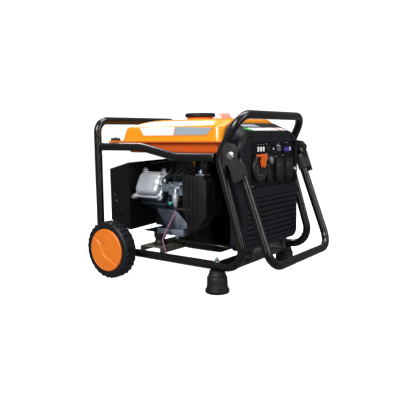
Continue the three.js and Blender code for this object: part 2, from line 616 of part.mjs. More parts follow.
// ---------- alternator and its fan housing ----------
function buildAlternator() {
  const F = fan;
  const around = (geometry) => alongY(geometry).translate(crank.x, 0, crank.z);
  const back = F.back - gap;
  const end = F.back - F.depth;
  const skin = (by) => roundedRect(F.left + by, F.right - by, F.low + by, F.high - by,
    F.lowCorner - by, F.highCorner - by);
  add('fan_housing', build([frontSheet(skin(0), end, back)], [
    frontSheet(skin(F.wall), end + F.wall, back - F.wall),
    frontSheet(skin(F.lip), end - 5, end + 2 * F.wall),
    rod([crank.x, back - 2 * F.wall, crank.z], [crank.x, back + 5, crank.z], F.hubHole, 24),
  ]), finishes.sheet);
  const inner = back - F.wall - gap;
  add('stator', around(turned([
    [24, inner - 40], [24, inner], [88, inner], [88, inner - 40]], 20)), finishes.copper);
  const bell = inner - 44;
  const rotor = turned([
    [0, F.back + 130], [crank.shaftR, F.back + 130], [crank.shaftR, bell], [91, bell], [91, inner - 4],
    [100, inner - 4], [100, bell - 6], [30, bell - 6], [30, bell - 34], [0, bell - 34]], 22);
  const blades = [];
  for (let i = 0; i < 10; i += 1) {
    blades.push(box([28, 118], [-1.5, 1.5], [bell - 30, bell - 5]).rotateZ((i / 10) * Math.PI * 2));
  }
  add('alternator_rotor', around(build([rotor, ...blades])), finishes.steel);
}

// ---------- control housing ----------
// The hood's top slopes up towards the tank: points above the panel rise with depth.
function sloped(geometry) {
  const at = geometry.attributes.position;
  for (let i = 0; i < at.count; i += 1) {
    const depth = (at.getY(i) - faceY) / housing.depthTop;
    const height = THREE.MathUtils.clamp((at.getZ(i) - 400) / (housing.topZ - 400), 0, 1);
    at.setZ(i, at.getZ(i) + housing.rise * depth * height);
  }
  return geometry;
}

const covers = [
  { name: 'outlet_cover_left', x: 58, width: 56, z: [338.5, 414] },
  { name: 'outlet_cover_right', x: 127, width: 56, z: [338.5, 414] },
  { name: 'dc_cover', x: -19, width: 24, z: [340, 390] },
];
const start = { x: -4, z: 414, r: 19 };
const reset = { x: -23, z: 454, r: 9 };
const rocker = { x: 55, z: 452, w: 26, h: 20 };
const dial = { x: -81, z: 390, r: 44 };
const knuckle = 2.7;
const knuckleY = panelY - knuckle - gap;

function buildHousing() {
  const H = housing;
  const shell = (by, from, to) => sloped(frontSheet(roundedRect(
    -H.halfWidth + by, H.halfWidth - by, H.bottomZ + by, H.topZ - by, H.lowCorner - by, H.topCorner - by),
  from, to));
  const lap = 8;
  const rim = box([panel.left - 3, panel.right + 3], [faceY + 1, panelY - gap], [panel.low - 3, panel.high + 3]);
  const window = box([panel.left, panel.right], [faceY - 5, panelY + 5], [panel.low, panel.high]);
  const cuts = [window, box([-300, 300], [faceY + H.depthLow, 0], [0, 430])];
  for (let i = 0; i < 8; i += 1) {
    cuts.push(box([-155, 165], [faceY - 5, faceY + 5], [145 + i * 17.1, 152 + i * 17.1]));
  }
  for (const side of [-1, 1]) {
    cuts.push(rod([side * 139, faceY - 5, 488], [side * 139, faceY + 5, 488], 5, 12));
  }
  const outer = toSolid(shell(0, faceY, hoodBackY));
  const inner = toSolid(shell(H.wall, faceY + H.wall, hoodBackY + lap));
  let solid = outer.subtract(inner).add(toSolid(rim).intersect(outer));
  for (const cut of cuts) solid = solid.subtract(toSolid(cut));
  add('control_housing', toGeometry(solid), finishes.blackPlastic);

  const P = panel;
  const plate = [panelY, panelY + P.plate];
  const parts = [box([P.left - P.lap, P.right + P.lap], plate, [P.low - P.lap, P.high + P.lap])];
  const holes = [
    rod([start.x, panelY - 5, start.z], [start.x, panelY + 5, start.z], start.r + 0.6, 18),
    rod([reset.x, panelY - 5, reset.z], [reset.x, panelY + 5, reset.z], reset.r + 0.5, 18),
    rod([dial.x, panelY - 5, dial.z], [dial.x, panelY + 5, dial.z], 7, 16),
    box([rocker.x - rocker.w / 2 - 0.6, rocker.x + rocker.w / 2 + 0.6], [panelY - 5, panelY + 5],
      [rocker.z - rocker.h / 2 - 1, rocker.z + rocker.h / 2 + 1]),
  ];
  for (const cover of covers) {
    const half = cover.width / 2;
    const axisZ = cover.z[1];
    for (const side of [-1, 1]) {
      const x = [cover.x + side * (half + 3), cover.x + side * (half + 0.5)].sort((a, b) => a - b);
      parts.push(box(x, [knuckleY - 3.5, panelY + 1], [axisZ - 3.5, axisZ + 3.5]));
    }
    holes.push(rod([cover.x - half - 2.3, knuckleY, axisZ], [cover.x + half + 2.3, knuckleY, axisZ], 1.8, 8));
    const mid = (cover.z[0] + cover.z[1]) / 2;
    const r = Math.min(half - 5, 20);
    parts.push(rod([cover.x, panelY + 1, mid], [cover.x, panelY + 16, mid], r + 2.5, 16));
    holes.push(rod([cover.x, panelY - 5, mid], [cover.x, panelY + 13, mid], r, 16));
  }
  add('control_panel', build(parts, holes), finishes.panel);

  for (const cover of covers) addCover(cover);
  add('start_button', rod([start.x, panelY - 9, start.z], [start.x, panelY + 7, start.z], start.r, 18),
    finishes.chrome);
  add('reset_button', rod([reset.x, panelY - 6, reset.z], [reset.x, panelY + 7, reset.z], reset.r, 18),
    finishes.panel);
  add('rocker_switch', box([rocker.x - rocker.w / 2, rocker.x + rocker.w / 2], [panelY - 4, panelY + 6],
    [rocker.z - rocker.h / 2, rocker.z + rocker.h / 2]), finishes.grey);
  add('display_module', frontSheet(roundedRect(84, 142, 430, 465, 4), panelY - 4, panelY - gap), finishes.panel);
  add('ground_terminal', build([
    rod([166, panelY - 14, 375], [166, panelY - gap, 375], 4, 12),
    rod([166, panelY - 4, 375], [166, panelY - gap, 375], 8, 12),
    rod([166, panelY - 12, 375], [166, panelY - 3, 375], 7, 6),
  ]), finishes.chrome);

  const D = dial;
  const dialFace = alongY(turned([[0, -11], [D.r - 5, -11], [D.r, -7], [D.r, 0], [0, 0]], 30));
  add('engine_dial', build([
    dialFace.translate(D.x, panelY - gap, D.z),
    rod([D.x, panelY - 2, D.z], [D.x, panelY + 9, D.z], 6.4, 16),
  ]), finishes.blackPlastic);
  const pointer = new THREE.Shape();
  pointer.moveTo(-36, 47);
  pointer.lineTo(-36, 40);
  pointer.lineTo(-12, 37);
  pointer.lineTo(-8, 16);
  pointer.absarc(6, 16, 12, Math.PI, 0);
  pointer.lineTo(25, 38);
  pointer.lineTo(20, 47);
  add('dial_lever', frontSheet(pointer, -9, 0).translate(D.x, panelY - gap - 11 - gap, D.z), finishes.orange);

  const moduleY = faceY + H.wall + gap + 2;
  const moduleParts = [box([-145, 145], [moduleY + 22, moduleY + 32],
    [H.bottomZ + H.wall + gap, panel.low - 22])];
  for (let i = 0; i < 14; i += 1) {
    const x = -130 + i * 20;
    moduleParts.push(box([x - 1.5, x + 1.5], [moduleY, moduleY + 23], [H.bottomZ + 10, panel.low - 24]));
  }
  add('inverter_module', build(moduleParts), finishes.zinc);
}

// Spring flap on its own pin; the dome starts below the knuckle, so it swings up clear of the panel.
function addCover({ name, x, width, z }) {
  const half = width / 2;
  const leaf = frontSheet(roundedRect(x - half, x + half, z[0], z[1], Math.min(half - 1, 18), 1),
    knuckleY - knuckle, knuckleY + knuckle);
  const dome = frontSheet(roundedRect(x - half + 4, x + half - 4, z[0] + 5, z[1] - 12, Math.min(half - 5, 16)),
    knuckleY - knuckle - 6, knuckleY);
  const pin = rod([x - half - 1.8, knuckleY, z[1]], [x + half + 1.8, knuckleY, z[1]], 1.4, 8);
  const barrel = rod([x - half, knuckleY, z[1]], [x + half, knuckleY, z[1]], knuckle, 8);
  add(name, build([leaf, dome, pin, barrel]), finishes.rubber);
}

buildFrame();
buildWheels();
buildFeet();
buildHandle();
buildTank();
buildFuelLine();
buildEngine();
buildAlternator();
buildHousing();

const bounds = new THREE.Box3().setFromObject(root);
root.position.y = -(bounds.min.y + bounds.max.y) / 2;
root.updateMatrixWorld(true);

export default root;
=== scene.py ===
"""Open-frame portable generator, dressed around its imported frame.

Every shape is drawn in millimetres, with Y measured from the rear hoop's centreline, and becomes a
piece in metres in the frame's own axes: +Z up, -Y towards the control side.
"""
import json
import logging
import math
from dataclasses import dataclass, field
from enum import Enum
from typing import Sequence

import bmesh
import bpy
from mathutils import Matrix, Vector

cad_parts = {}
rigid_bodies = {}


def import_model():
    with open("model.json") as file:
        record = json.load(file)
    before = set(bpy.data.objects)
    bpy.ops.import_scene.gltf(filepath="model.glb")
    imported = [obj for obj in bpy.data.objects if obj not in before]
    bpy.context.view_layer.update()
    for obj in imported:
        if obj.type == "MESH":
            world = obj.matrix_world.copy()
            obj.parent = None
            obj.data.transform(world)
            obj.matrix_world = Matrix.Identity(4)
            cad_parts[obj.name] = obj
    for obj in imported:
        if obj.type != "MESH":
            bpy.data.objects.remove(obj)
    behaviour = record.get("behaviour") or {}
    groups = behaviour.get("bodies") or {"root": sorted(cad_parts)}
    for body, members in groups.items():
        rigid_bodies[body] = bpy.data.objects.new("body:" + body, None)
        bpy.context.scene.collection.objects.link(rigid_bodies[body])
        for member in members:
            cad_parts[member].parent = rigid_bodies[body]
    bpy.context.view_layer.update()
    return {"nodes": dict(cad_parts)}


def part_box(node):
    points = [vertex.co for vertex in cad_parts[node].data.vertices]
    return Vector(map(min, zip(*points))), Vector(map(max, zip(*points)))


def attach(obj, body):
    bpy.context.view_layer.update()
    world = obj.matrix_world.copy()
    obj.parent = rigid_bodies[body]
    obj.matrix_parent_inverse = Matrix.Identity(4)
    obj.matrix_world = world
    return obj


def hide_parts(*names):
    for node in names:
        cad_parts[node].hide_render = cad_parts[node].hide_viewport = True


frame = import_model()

log = logging.getLogger("generator")

MM = 0.001
SIDES = {"left": -1, "right": 1}
REAR_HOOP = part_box("rear_hoop_tube")
REAR_Y = (REAR_HOOP[0][1] + REAR_HOOP[1][1]) / 2


class Body(str, Enum):
    """The moving bodies of the frame."""

    FRAME = "frame"
    HANDLE = "handle"
    CAP = "fuel_cap"
    DIAL = "engine_dial"
    START = "start_button"
    RESET = "reset_button"
    ROCKER = "rocker_switch"
    ROTOR = "rotor"
    TAP_LEVER = "fuel_tap_lever"


class Along(Enum):
    """Direction in which a turned or flat shape is built up."""

    X = Matrix(((0, 0, 1), (1, 0, 0), (0, 1, 0))).to_4x4()
    Y = Matrix(((1, 0, 0), (0, 0, 1), (0, 1, 0))).to_4x4()
    Z = Matrix.Identity(4)


# ---------------------------------------------------------------- finishes

def hexa(code: str) -> tuple[float, float, float, float]:
    """Turns an sRGB hex colour into linear light.

    Args:
        code: six hex digits after a hash.

    Returns:
        Linear red, green and blue, with an alpha of 1.
    """
    parts = [int(code[i:i + 2], 16) / 255 for i in (1, 3, 5)]
    linear = [c / 12.92 if c <= 0.04045 else ((c + 0.055) / 1.055) ** 2.4 for c in parts]
    return (*linear, 1.0)


def add_node(tree: bpy.types.NodeTree, kind: str, inputs: dict | None = None, **settings) -> bpy.types.Node:
    """Adds a node with its settings, values and links.

    Args:
        tree: the tree that gets the node.
        kind: Blender's name for the node type.
        inputs: what each input holds, by its name or number: a value, or the socket it is linked to.
        settings: the node's own properties.

    Returns:
        The new node.
    """
    node = tree.nodes.new(kind)
    for name, value in settings.items():
        setattr(node, name, value)
    for key, value in (inputs or {}).items():
        if isinstance(value, bpy.types.NodeSocket):
            tree.links.new(value, node.inputs[key])
        else:
            node.inputs[key].default_value = value
    return node


@dataclass(frozen=True)
class Finish:
    """A surface: its base colour, the small grain left by how it was made, and its gloss."""

    name: str
    colour: str
    roughness: float = 0.5
    metallic: float = 0.0
    coat: float = 0.0
    coat_roughness: float = 0.1
    grain_mm: float = 1.0
    grain_depth: float = 0.02
    mottle: float = 0.06
    mottle_mm: float = 40.0
    gloss_change: float = 0.06
    transmission: float = 0.0
    ior: float = 1.5
    specular: float = 0.4
    glow: float = 0.0

    def material(self) -> bpy.types.Material:
        """Builds the material, or returns it if it is there already."""
        known = bpy.data.materials.get(self.name)
        if known:
            return known
        made = bpy.data.materials.new(self.name)
        made.use_nodes = True
        tree = made.node_tree
        tree.nodes.clear()
        place = add_node(tree, "ShaderNodeTexCoord").outputs["Object"]
        colour = self.coloured(tree, place)
        patches = add_node(tree, "ShaderNodeTexNoise", {
            "Vector": place, "Scale": 1000 / self.mottle_mm, "Detail": 5.0, "Roughness": 0.6})
        gloss = add_node(tree, "ShaderNodeMapRange", {
            "Value": patches.outputs["Fac"], "From Min": 0.3, "From Max": 0.7,
            "To Min": self.roughness - self.gloss_change, "To Max": self.roughness + self.gloss_change})
        shader = add_node(tree, "ShaderNodeBsdfPrincipled", {
            "Base Color": colour, "Roughness": gloss.outputs["Result"], "Metallic": self.metallic,
            "Normal": self.bumped(tree, place), "Coat Weight": self.coat,
            "Coat Roughness": self.coat_roughness, "Transmission Weight": self.transmission,
            "IOR": self.ior, "Specular IOR Level": self.specular})
        if self.glow:
            shader.inputs["Emission Color"].default_value = hexa(self.colour)
            shader.inputs["Emission Strength"].default_value = self.glow
        add_node(tree, "ShaderNodeOutputMaterial", {"Surface": shader.outputs["BSDF"]})
        return made

    def coloured(self, tree: bpy.types.NodeTree, place: bpy.types.NodeSocket) -> bpy.types.NodeSocket:
        """Gives the base colour a slow change of tone over the surface.

        Args:
            tree: the material's tree.
            place: the coordinates that the pattern follows.

        Returns:
            The colour socket.
        """
        tone = add_node(tree, "ShaderNodeTexNoise", {
            "Vector": place, "Scale": 1000 / self.mottle_mm, "Detail": 3.0})
        shade = add_node(tree, "ShaderNodeMapRange", {
            "Value": tone.outputs["Fac"], "From Min": 0.3, "From Max": 0.7,
            "To Min": 1 - self.mottle, "To Max": 1 + self.mottle})
        mixed = add_node(tree, "ShaderNodeVectorMath", {
            0: hexa(self.colour)[:3], "Scale": shade.outputs["Result"]}, operation="SCALE")
        return mixed.outputs["Vector"]

    def bumped(self, tree: bpy.types.NodeTree, place: bpy.types.NodeSocket) -> bpy.types.NodeSocket:
        """Gives the surface its fine grain.

        Args:
            tree: the material's tree.
            place: the coordinates that the pattern follows.

        Returns:
            The normal socket.
        """
        grain = add_node(tree, "ShaderNodeTexNoise", {
            "Vector": place, "Scale": 1000 / self.grain_mm, "Detail": 4.0, "Roughness": 0.55})
        bump = add_node(tree, "ShaderNodeBump", {
            "Height": grain.outputs["Fac"], "Strength": 1.0, "Distance": self.grain_depth * MM})
        return bump.outputs["Normal"]


@dataclass(frozen=True)
class BrushedFinish(Finish):
    """A metal with long fine scratches along Y, as rolled or brushed sheet has."""

    stretch: float = 0.04

    def bumped(self, tree: bpy.types.NodeTree, place: bpy.types.NodeSocket) -> bpy.types.NodeSocket:
        """Gives the surface scratches that are far longer than they are wide.

        Args:
            tree: the material's tree.
            place: the coordinates that the pattern follows.

        Returns:
            The normal socket.
        """
        drawn = add_node(tree, "ShaderNodeMapping", {"Vector": place, "Scale": (1.0, self.stretch, 1.0)})
        lines = add_node(tree, "ShaderNodeTexNoise", {
            "Vector": drawn.outputs["Vector"], "Scale": 1000 / self.grain_mm, "Detail": 3.0})
        bump = add_node(tree, "ShaderNodeBump", {
            "Height": lines.outputs["Fac"], "Strength": 0.8, "Distance": self.grain_depth * MM})
        return bump.outputs["Normal"]


@dataclass(frozen=True)
class CastFinish(Finish):
    """A sand- or die-cast metal: rounded grains under a blasted skin."""

    def bumped(self, tree: bpy.types.NodeTree, place: bpy.types.NodeSocket) -> bpy.types.NodeSocket:
        """Gives the surface the pebbled skin of a casting.

        Args:
            tree: the material's tree.
            place: the coordinates that the pattern follows.

        Returns:
            The normal socket.
        """
        pebbles = add_node(tree, "ShaderNodeTexVoronoi", {
            "Vector": place, "Scale": 1000 / self.grain_mm}, feature="SMOOTH_F1")
        fine = add_node(tree, "ShaderNodeTexNoise", {
            "Vector": place, "Scale": 2500 / self.grain_mm, "Detail": 3.0})
        both = add_node(tree, "ShaderNodeMath", {
            0: pebbles.outputs["Distance"], 1: fine.outputs["Fac"]}, operation="ADD")
        bump = add_node(tree, "ShaderNodeBump", {
            "Height": both.outputs["Value"], "Strength": 0.7, "Distance": self.grain_depth * MM})
        return bump.outputs["Normal"]


# Powder-coated steel tube: near-black, glossy, with the faint orange peel of baked powder.
TUBE = Finish("powder-coated steel tube", "#08090b", roughness=0.3, coat=0.4, coat_roughness=0.14,
              grain_mm=2.5, grain_depth=0.002, mottle=0.1, gloss_change=0.02)
# Powder-coated steel sheet, sprayed with a coarser satin powder.
SHEET = Finish("textured powder coat on sheet", "#302f2e", specular=0.2, roughness=0.46,
               grain_mm=1.2, grain_depth=0.05, mottle=0.12, gloss_change=0.08)
# Heat-proof paint: nearly black and almost without shine.
SHIELD = Finish("heat-proof black sheet", "#0b0c0e", specular=0.2, roughness=0.6, grain_mm=1.5,
                grain_depth=0.03)
# Tank enamel: warm yellow orange under clear lacquer. The redder copy on the lower pressing is painted shade:
# the same enamel, darkened under the flange.
ENAMEL = Finish("baked enamel on pressed steel", "#f2930f", roughness=0.3, coat=0.6, coat_roughness=0.1,
                grain_mm=6.0, grain_depth=0.002, mottle=0.03, mottle_mm=90)
ENAMEL_PAINTED_SHADE = Finish("baked enamel with painted shade on the lower pressing", "#e9601c", roughness=0.34, coat=0.5,
                    coat_roughness=0.12, grain_mm=6.0, grain_depth=0.002, mottle=0.04, mottle_mm=90)
# ABS mouldings with a spark-eroded grain.
ABS = Finish("spark-grained ABS", "#191b21", specular=0.2, roughness=0.46, grain_mm=0.9,
             grain_depth=0.03, mottle=0.05)
# Mouldings of the controls: a finer grain and a tighter shine than the housing's.
PANEL = Finish("satin ABS fascia", "#0b0c11", specular=0.2, roughness=0.36, grain_mm=0.8, grain_depth=0.015)
DIAL = Finish("satin black nylon", "#1d1e22", roughness=0.4, grain_mm=0.8, grain_depth=0.02)
GREY_PLASTIC = Finish("grey polycarbonate", "#5d616b", roughness=0.35, grain_mm=0.8, grain_depth=0.01)
# Orange mouldings, coloured right through: an even colour with a soft shine.
ORANGE_PLASTIC = Finish("moulded orange polypropylene", "#ef7d22", roughness=0.38, grain_mm=1.2,
                        grain_depth=0.012, mottle=0.03, coat=0.2, coat_roughness=0.25)
LEVER = Finish("moulded orange acetal", "#f2681e", roughness=0.35, grain_mm=1.0, grain_depth=0.01)
# Glass-filled nylon: matt, and faintly clouded by its fibres.
FILTER_BOX = Finish("glass-filled nylon", "#1a191b", specular=0.2, roughness=0.5, grain_mm=1.4,
                    grain_depth=0.03, mottle=0.1)
# Vulcanised rubber: dull, with a bloom that lightens it in patches.
RUBBER = Finish("moulded rubber", "#101113", roughness=0.55, grain_mm=0.9, grain_depth=0.03, mottle=0.18)
TYRE = Finish("vulcanised tyre rubber", "#15171b", roughness=0.42, grain_mm=1.1, grain_depth=0.04,
              mottle=0.16)
# Cast silicone: a bright, even red.
SEAL = Finish("red silicone gasket", "#e0221a", roughness=0.4, grain_mm=0.8, grain_depth=0.01)
# Die castings, blasted bright; the finned cylinder is darker and bluer.
COVER_CAST = CastFinish("blasted aluminium casting", "#c6cad1", roughness=0.42, metallic=0.6,
                        grain_mm=0.9, grain_depth=0.03, mottle=0.05)
ENGINE_CAST = CastFinish("die-cast aluminium", "#5d6775", roughness=0.42, metallic=0.85, grain_mm=1.2,
                         grain_depth=0.04, mottle=0.12)
# A casting under black paint: dull, with the casting's coarse skin still showing. The engine bracket's deck
# and the alternator rotor also take it, as painted shade.
BLACK_CAST_AND_SHADE = CastFinish("painted casting, also painted shade", "#0f1012", specular=0.2, roughness=0.5, grain_mm=1.3,
                       grain_depth=0.05)
# Plated and turned metals: zinc is clouded, galvanising duller and patchier, nickel the brightest.
ZINC = BrushedFinish("bright zinc plate", "#b2bfcd", roughness=0.32, metallic=0.9, grain_mm=0.7,
                     grain_depth=0.01, mottle=0.14, mottle_mm=14)
GALVANISED = Finish("dull galvanised steel", "#6c675e", roughness=0.5, metallic=0.35, grain_mm=2.0,
                    grain_depth=0.02, mottle=0.15, mottle_mm=12)
STEEL = BrushedFinish("turned steel", "#9fa3a9", roughness=0.32, metallic=1.0, grain_mm=0.6,
                      grain_depth=0.008, mottle=0.08)
CHROME = Finish("bright nickel plate", "#f0f2f5", roughness=0.22, metallic=1.0, grain_mm=3.0,
                grain_depth=0.004, mottle=0.02, gloss_change=0.03)
# Turned brass, and copper wire under amber varnish.
BRASS = Finish("turned brass", "#c9973f", roughness=0.28, metallic=1.0, grain_mm=1.0, grain_depth=0.008)
COPPER = Finish("enamelled copper winding", "#8a4422", roughness=0.35, metallic=0.8, grain_mm=1.2,
                grain_depth=0.06)
# Steel dulled and clouded by heat.
EXHAUST = Finish("heat-blued steel", "#5a5856", roughness=0.45, metallic=0.9, grain_mm=2.5,
                 grain_depth=0.03, mottle=0.2)
# Clear tinted PVC: pink where light passes through the wall.
HOSE = Finish("tinted clear PVC hose", "#b9799f", roughness=0.28, transmission=0.25, grain_mm=2.0,
              grain_depth=0.005, mottle=0.03)
# Thin acetate, paler than the hose.
TAG = Finish("tinted acetate tag", "#f8c9c5", roughness=0.3, transmission=0.3, grain_mm=6.0,
             grain_depth=0.01, mottle=0.02)
# Printed vinyl: flat colour under a thin gloss film.
WHITE_VINYL = Finish("white vinyl print", "#f4f4f6", roughness=0.3, grain_mm=3.0, grain_depth=0.004,
                     mottle=0.01)
GREY_VINYL = Finish("grey vinyl print", "#97a2ab", roughness=0.32, grain_mm=3.0, grain_depth=0.004,
                    mottle=0.03)
GREEN_VINYL = Finish("green vinyl print", "#43b24c", roughness=0.3, grain_mm=3.0, grain_depth=0.004)
ORANGE_VINYL = Finish("orange vinyl print", "#ec5a1c", roughness=0.3, grain_mm=3.0, grain_depth=0.004)
# Lamps and the display, which give a little light of their own.
LENS = Finish("white lamp lens", "#eef0f6", roughness=0.2, grain_mm=2.0, grain_depth=0.004, glow=0.25)
SCREEN = Finish("violet backlit screen", "#41338f", roughness=0.15, grain_mm=2.0, grain_depth=0.002,
                glow=0.35)
# Moulded connector: a clear, even colour.
TEAL = Finish("teal connector", "#3fb9ad", roughness=0.35, grain_mm=1.0, grain_depth=0.01)


# ---------------------------------------------------------------- shapes

def spot(x: float, y: float, z: float) -> Vector:
    """A point in the frame's metres from millimetres measured at the rear hoop."""
    return Vector((x * MM, y * MM + REAR_Y, z * MM))


def bent_route(corners: Sequence, radii: Sequence[float], step: float = 6.0) -> list[Vector]:
    """Rounds each inner corner of a route with an arc.

    Args:
        corners: the route's corner points.
        radii: the bend radius at each inner corner.
        step: largest turn between two points of an arc, in degrees.

    Returns:
        The points of the route.
    """
    points = [Vector(c) for c in corners]
    route = [points[0]]
    for i, radius in enumerate(radii, start=1):
        back = (points[i - 1] - points[i]).normalized()
        ahead = (points[i + 1] - points[i]).normalized()
        inside = back.angle(ahead)
        turn = math.pi - inside
        start = points[i] + back * (radius / math.tan(inside / 2))
        centre = points[i] + (back + ahead).normalized() * (radius / math.sin(inside / 2))
        axis = -back.cross(ahead).normalized()
        count = max(2, math.ceil(math.degrees(turn) / step))
        for k in range(count + 1):
            route.append(centre + Matrix.Rotation(turn * k / count, 3, axis) @ (start - centre))
    return route + [points[-1]]


def smooth_route(points: Sequence, per_span: int = 6) -> list[Vector]:
    """Runs a smooth curve through given points, with the centripetal rule.

    Args:
        points: the places it passes through, two or more.
        per_span: steps between one place and the next.

    Returns:
        The points of the curve, from the first place to the last.
    """
    pts = [Vector(p) for p in points]
    pts = [2 * pts[0] - pts[1], *pts, 2 * pts[-1] - pts[-2]]
    route = []
    for a, b, c, d in zip(pts, pts[1:], pts[2:], pts[3:]):
        t = [0.0]
        for p, q in ((a, b), (b, c), (c, d)):
            t.append(t[-1] + math.sqrt((q - p).length))
        for k in range(per_span):
            s = t[1] + (t[2] - t[1]) * k / per_span
            low = [p * ((t[j + 1] - s) / (t[j + 1] - t[j])) + q * ((s - t[j]) / (t[j + 1] - t[j]))
                   for j, (p, q) in enumerate(((a, b), (b, c), (c, d)))]
            mid = [low[j] * ((t[j + 2] - s) / (t[j + 2] - t[j]))
                   + low[j + 1] * ((s - t[j]) / (t[j + 2] - t[j]))
                   for j in range(2)]
            route.append(mid[0] * ((t[2] - s) / (t[2] - t[1])) + mid[1] * ((s - t[1]) / (t[2] - t[1])))
    return route + [pts[-2]]


def rounded(left: float, right: float, low: float, high: float, r_low: float, r_high: float | None = None,
            steps: int = 8) -> list[tuple[float, float]]:
    """Outline of a rectangle with round corners, anticlockwise from the lower right corner.

    Args:
        left: its left side.
        right: its right side.
        low: its lower side.
        high: its upper side.
        r_low: radius of the two lower corners.
        r_high: radius of the two upper ones, if it differs.
        steps: steps round each corner.

    Returns:
        Its points.
    """
    r_high = r_low if r_high is None else r_high
    corners = [(right - r_low, low + r_low, r_low, 270), (right - r_high, high - r_high, r_high, 0),
               (left + r_high, high - r_high, r_high, 90), (left + r_low, low + r_low, r_low, 180)]
    points = []
    for u, v, r, start in corners:
        for k in range(steps + 1):
            angle = math.radians(start + 90 * k / steps)
            points.append((u + r * math.cos(angle), v + r * math.sin(angle)))
    return points


class Shape:
    """Solids gathered part by part, in millimetres, that become one piece."""

    def __init__(self, place: Matrix | None = None) -> None:
        """Starts empty; place turns and moves every part that follows."""
        self.bm = bmesh.new()
        self.place = place or Matrix.Identity(4)

    def take(self, part: bmesh.types.BMesh, bevel: float = 0.0, segments: int = 2,
             turn: Matrix | None = None, sharp: float = 30.0) -> "Shape":
        """Adds a part after rounding its sharp edges.

        Args:
            part: the part, which is used up.
            bevel: width of the rounding.
            segments: how many faces the rounding has.
            turn: the part's own turn and move.
            sharp: edges that turn by more degrees than this are rounded.

        Returns:
            This shape.
        """
        bmesh.ops.remove_doubles(part, verts=part.verts, dist=1e-4)
        bmesh.ops.recalc_face_normals(part, faces=part.faces)
        if bevel:
            edges = [e for e in part.edges
                     if len(e.link_faces) == 2 and math.degrees(e.calc_face_angle(0)) > sharp]
            bmesh.ops.bevel(part, geom=edges, offset=bevel, segments=segments, profile=0.5,
                            affect="EDGES", clamp_overlap=True)
        bmesh.ops.transform(part, matrix=self.place @ (turn or Matrix.Identity(4)), verts=part.verts)
        bmesh.ops.recalc_face_normals(part, faces=part.faces)
        mesh = bpy.data.meshes.new("part")
        part.to_mesh(mesh)
        part.free()
        self.bm.from_mesh(mesh)
        bpy.data.meshes.remove(mesh)
        return self

    def box(self, x: Sequence, y: Sequence, z: Sequence, bevel: float = 0.6, segments: int = 2,
            turn: Matrix | None = None) -> "Shape":
        """Adds a box from its low and high sides.

        Args:
            x: its low and high side along X.
            y: the same along Y.
            z: the same along Z.
            bevel: width of its bevelled edges.
            segments: steps in each bevel.
            turn: matrix that places it.

        Returns:
            This shape.
        """
        part = bmesh.new()
        bmesh.ops.create_cube(part, size=1.0)
        size = Matrix.Diagonal((x[1] - x[0], y[1] - y[0], z[1] - z[0], 1))
        centre = Matrix.Translation(((x[0] + x[1]) / 2, (y[0] + y[1]) / 2, (z[0] + z[1]) / 2))
        bmesh.ops.transform(part, matrix=centre @ size, verts=part.verts)
        return self.take(part, bevel, segments, turn)

    def rod(self, start: Sequence, end: Sequence, radius: float, tip: float | None = None,
            sides: int = 28, bevel: float = 0.5, turn: Matrix | None = None) -> "Shape":
        """Adds a round bar, or a cone if its tip radius differs.

        Args:
            start: middle of its first end.
            end: middle of its last end.
            radius: radius at its start.
            tip: radius at its end, if it differs.
            sides: faces round it.
            bevel: width of its bevelled edges.
            turn: matrix that places it.

        Returns:
            This shape.
        """
        a, b = Vector(start), Vector(end)
        part = bmesh.new()
        bmesh.ops.create_cone(part, cap_ends=True, segments=sides, radius1=radius,
                              radius2=radius if tip is None else tip, depth=(b - a).length)
        stand = (b - a).to_track_quat("Z", "Y").to_matrix().to_4x4()
        bmesh.ops.transform(part, matrix=Matrix.Translation((a + b) / 2) @ stand, verts=part.verts)
        return self.take(part, bevel, 2, turn, sharp=40)

    def plate(self, outline: Sequence, low: float, high: float, along: Along = Along.Z, bevel: float = 0.5,
              segments: int = 2, turn: Matrix | None = None) -> "Shape":
        """Adds a flat outline given thickness from low to high.

        Args:
            outline: points of the flat shape.
            low: where its thickness starts.
            high: where it ends.
            along: direction of its thickness.
            bevel: width of its bevelled edges.
            segments: steps in each bevel.
            turn: matrix that places it.

        Returns:
            This shape.
        """
        part = bmesh.new()
        face = part.faces.new([part.verts.new((u, v, low)) for u, v in outline])
        grown = bmesh.ops.extrude_face_region(part, geom=[face])
        raised = [g for g in grown["geom"] if isinstance(g, bmesh.types.BMVert)]
        bmesh.ops.translate(part, vec=(0, 0, high - low), verts=raised)
        return self.take(part, bevel, segments, (turn or Matrix.Identity(4)) @ along.value, sharp=50)

    def turned(self, profile: Sequence, along: Along = Along.Z, centre: Sequence = (0, 0, 0),
               segments: int = 64, closed: bool = False) -> "Shape":
        """Adds a shape of revolution.

        Args:
            profile: pairs of radius and height.
            along: direction of its axis.
            centre: where the axis starts.
            segments: faces around it.
            closed: True if the profile meets itself, as a ring's does.

        Returns:
            This shape.
        """
        part = bmesh.new()
        rings = []
        for r, h in profile:
            count = 1 if r == 0 else segments
            angles = [2 * math.pi * k / segments for k in range(count)]
            rings.append([part.verts.new((r * math.cos(a), r * math.sin(a), h)) for a in angles])
        pairs = list(zip(rings, rings[1:] + rings[:1]))
        for one, two in pairs if closed else pairs[:-1]:
            for k in range(segments):
                n = (k + 1) % segments
                corners = [one[k % len(one)], one[n % len(one)], two[n % len(two)], two[k % len(two)]]
                part.faces.new(list(dict.fromkeys(corners)))
        return self.take(part, turn=Matrix.Translation(centre) @ along.value)

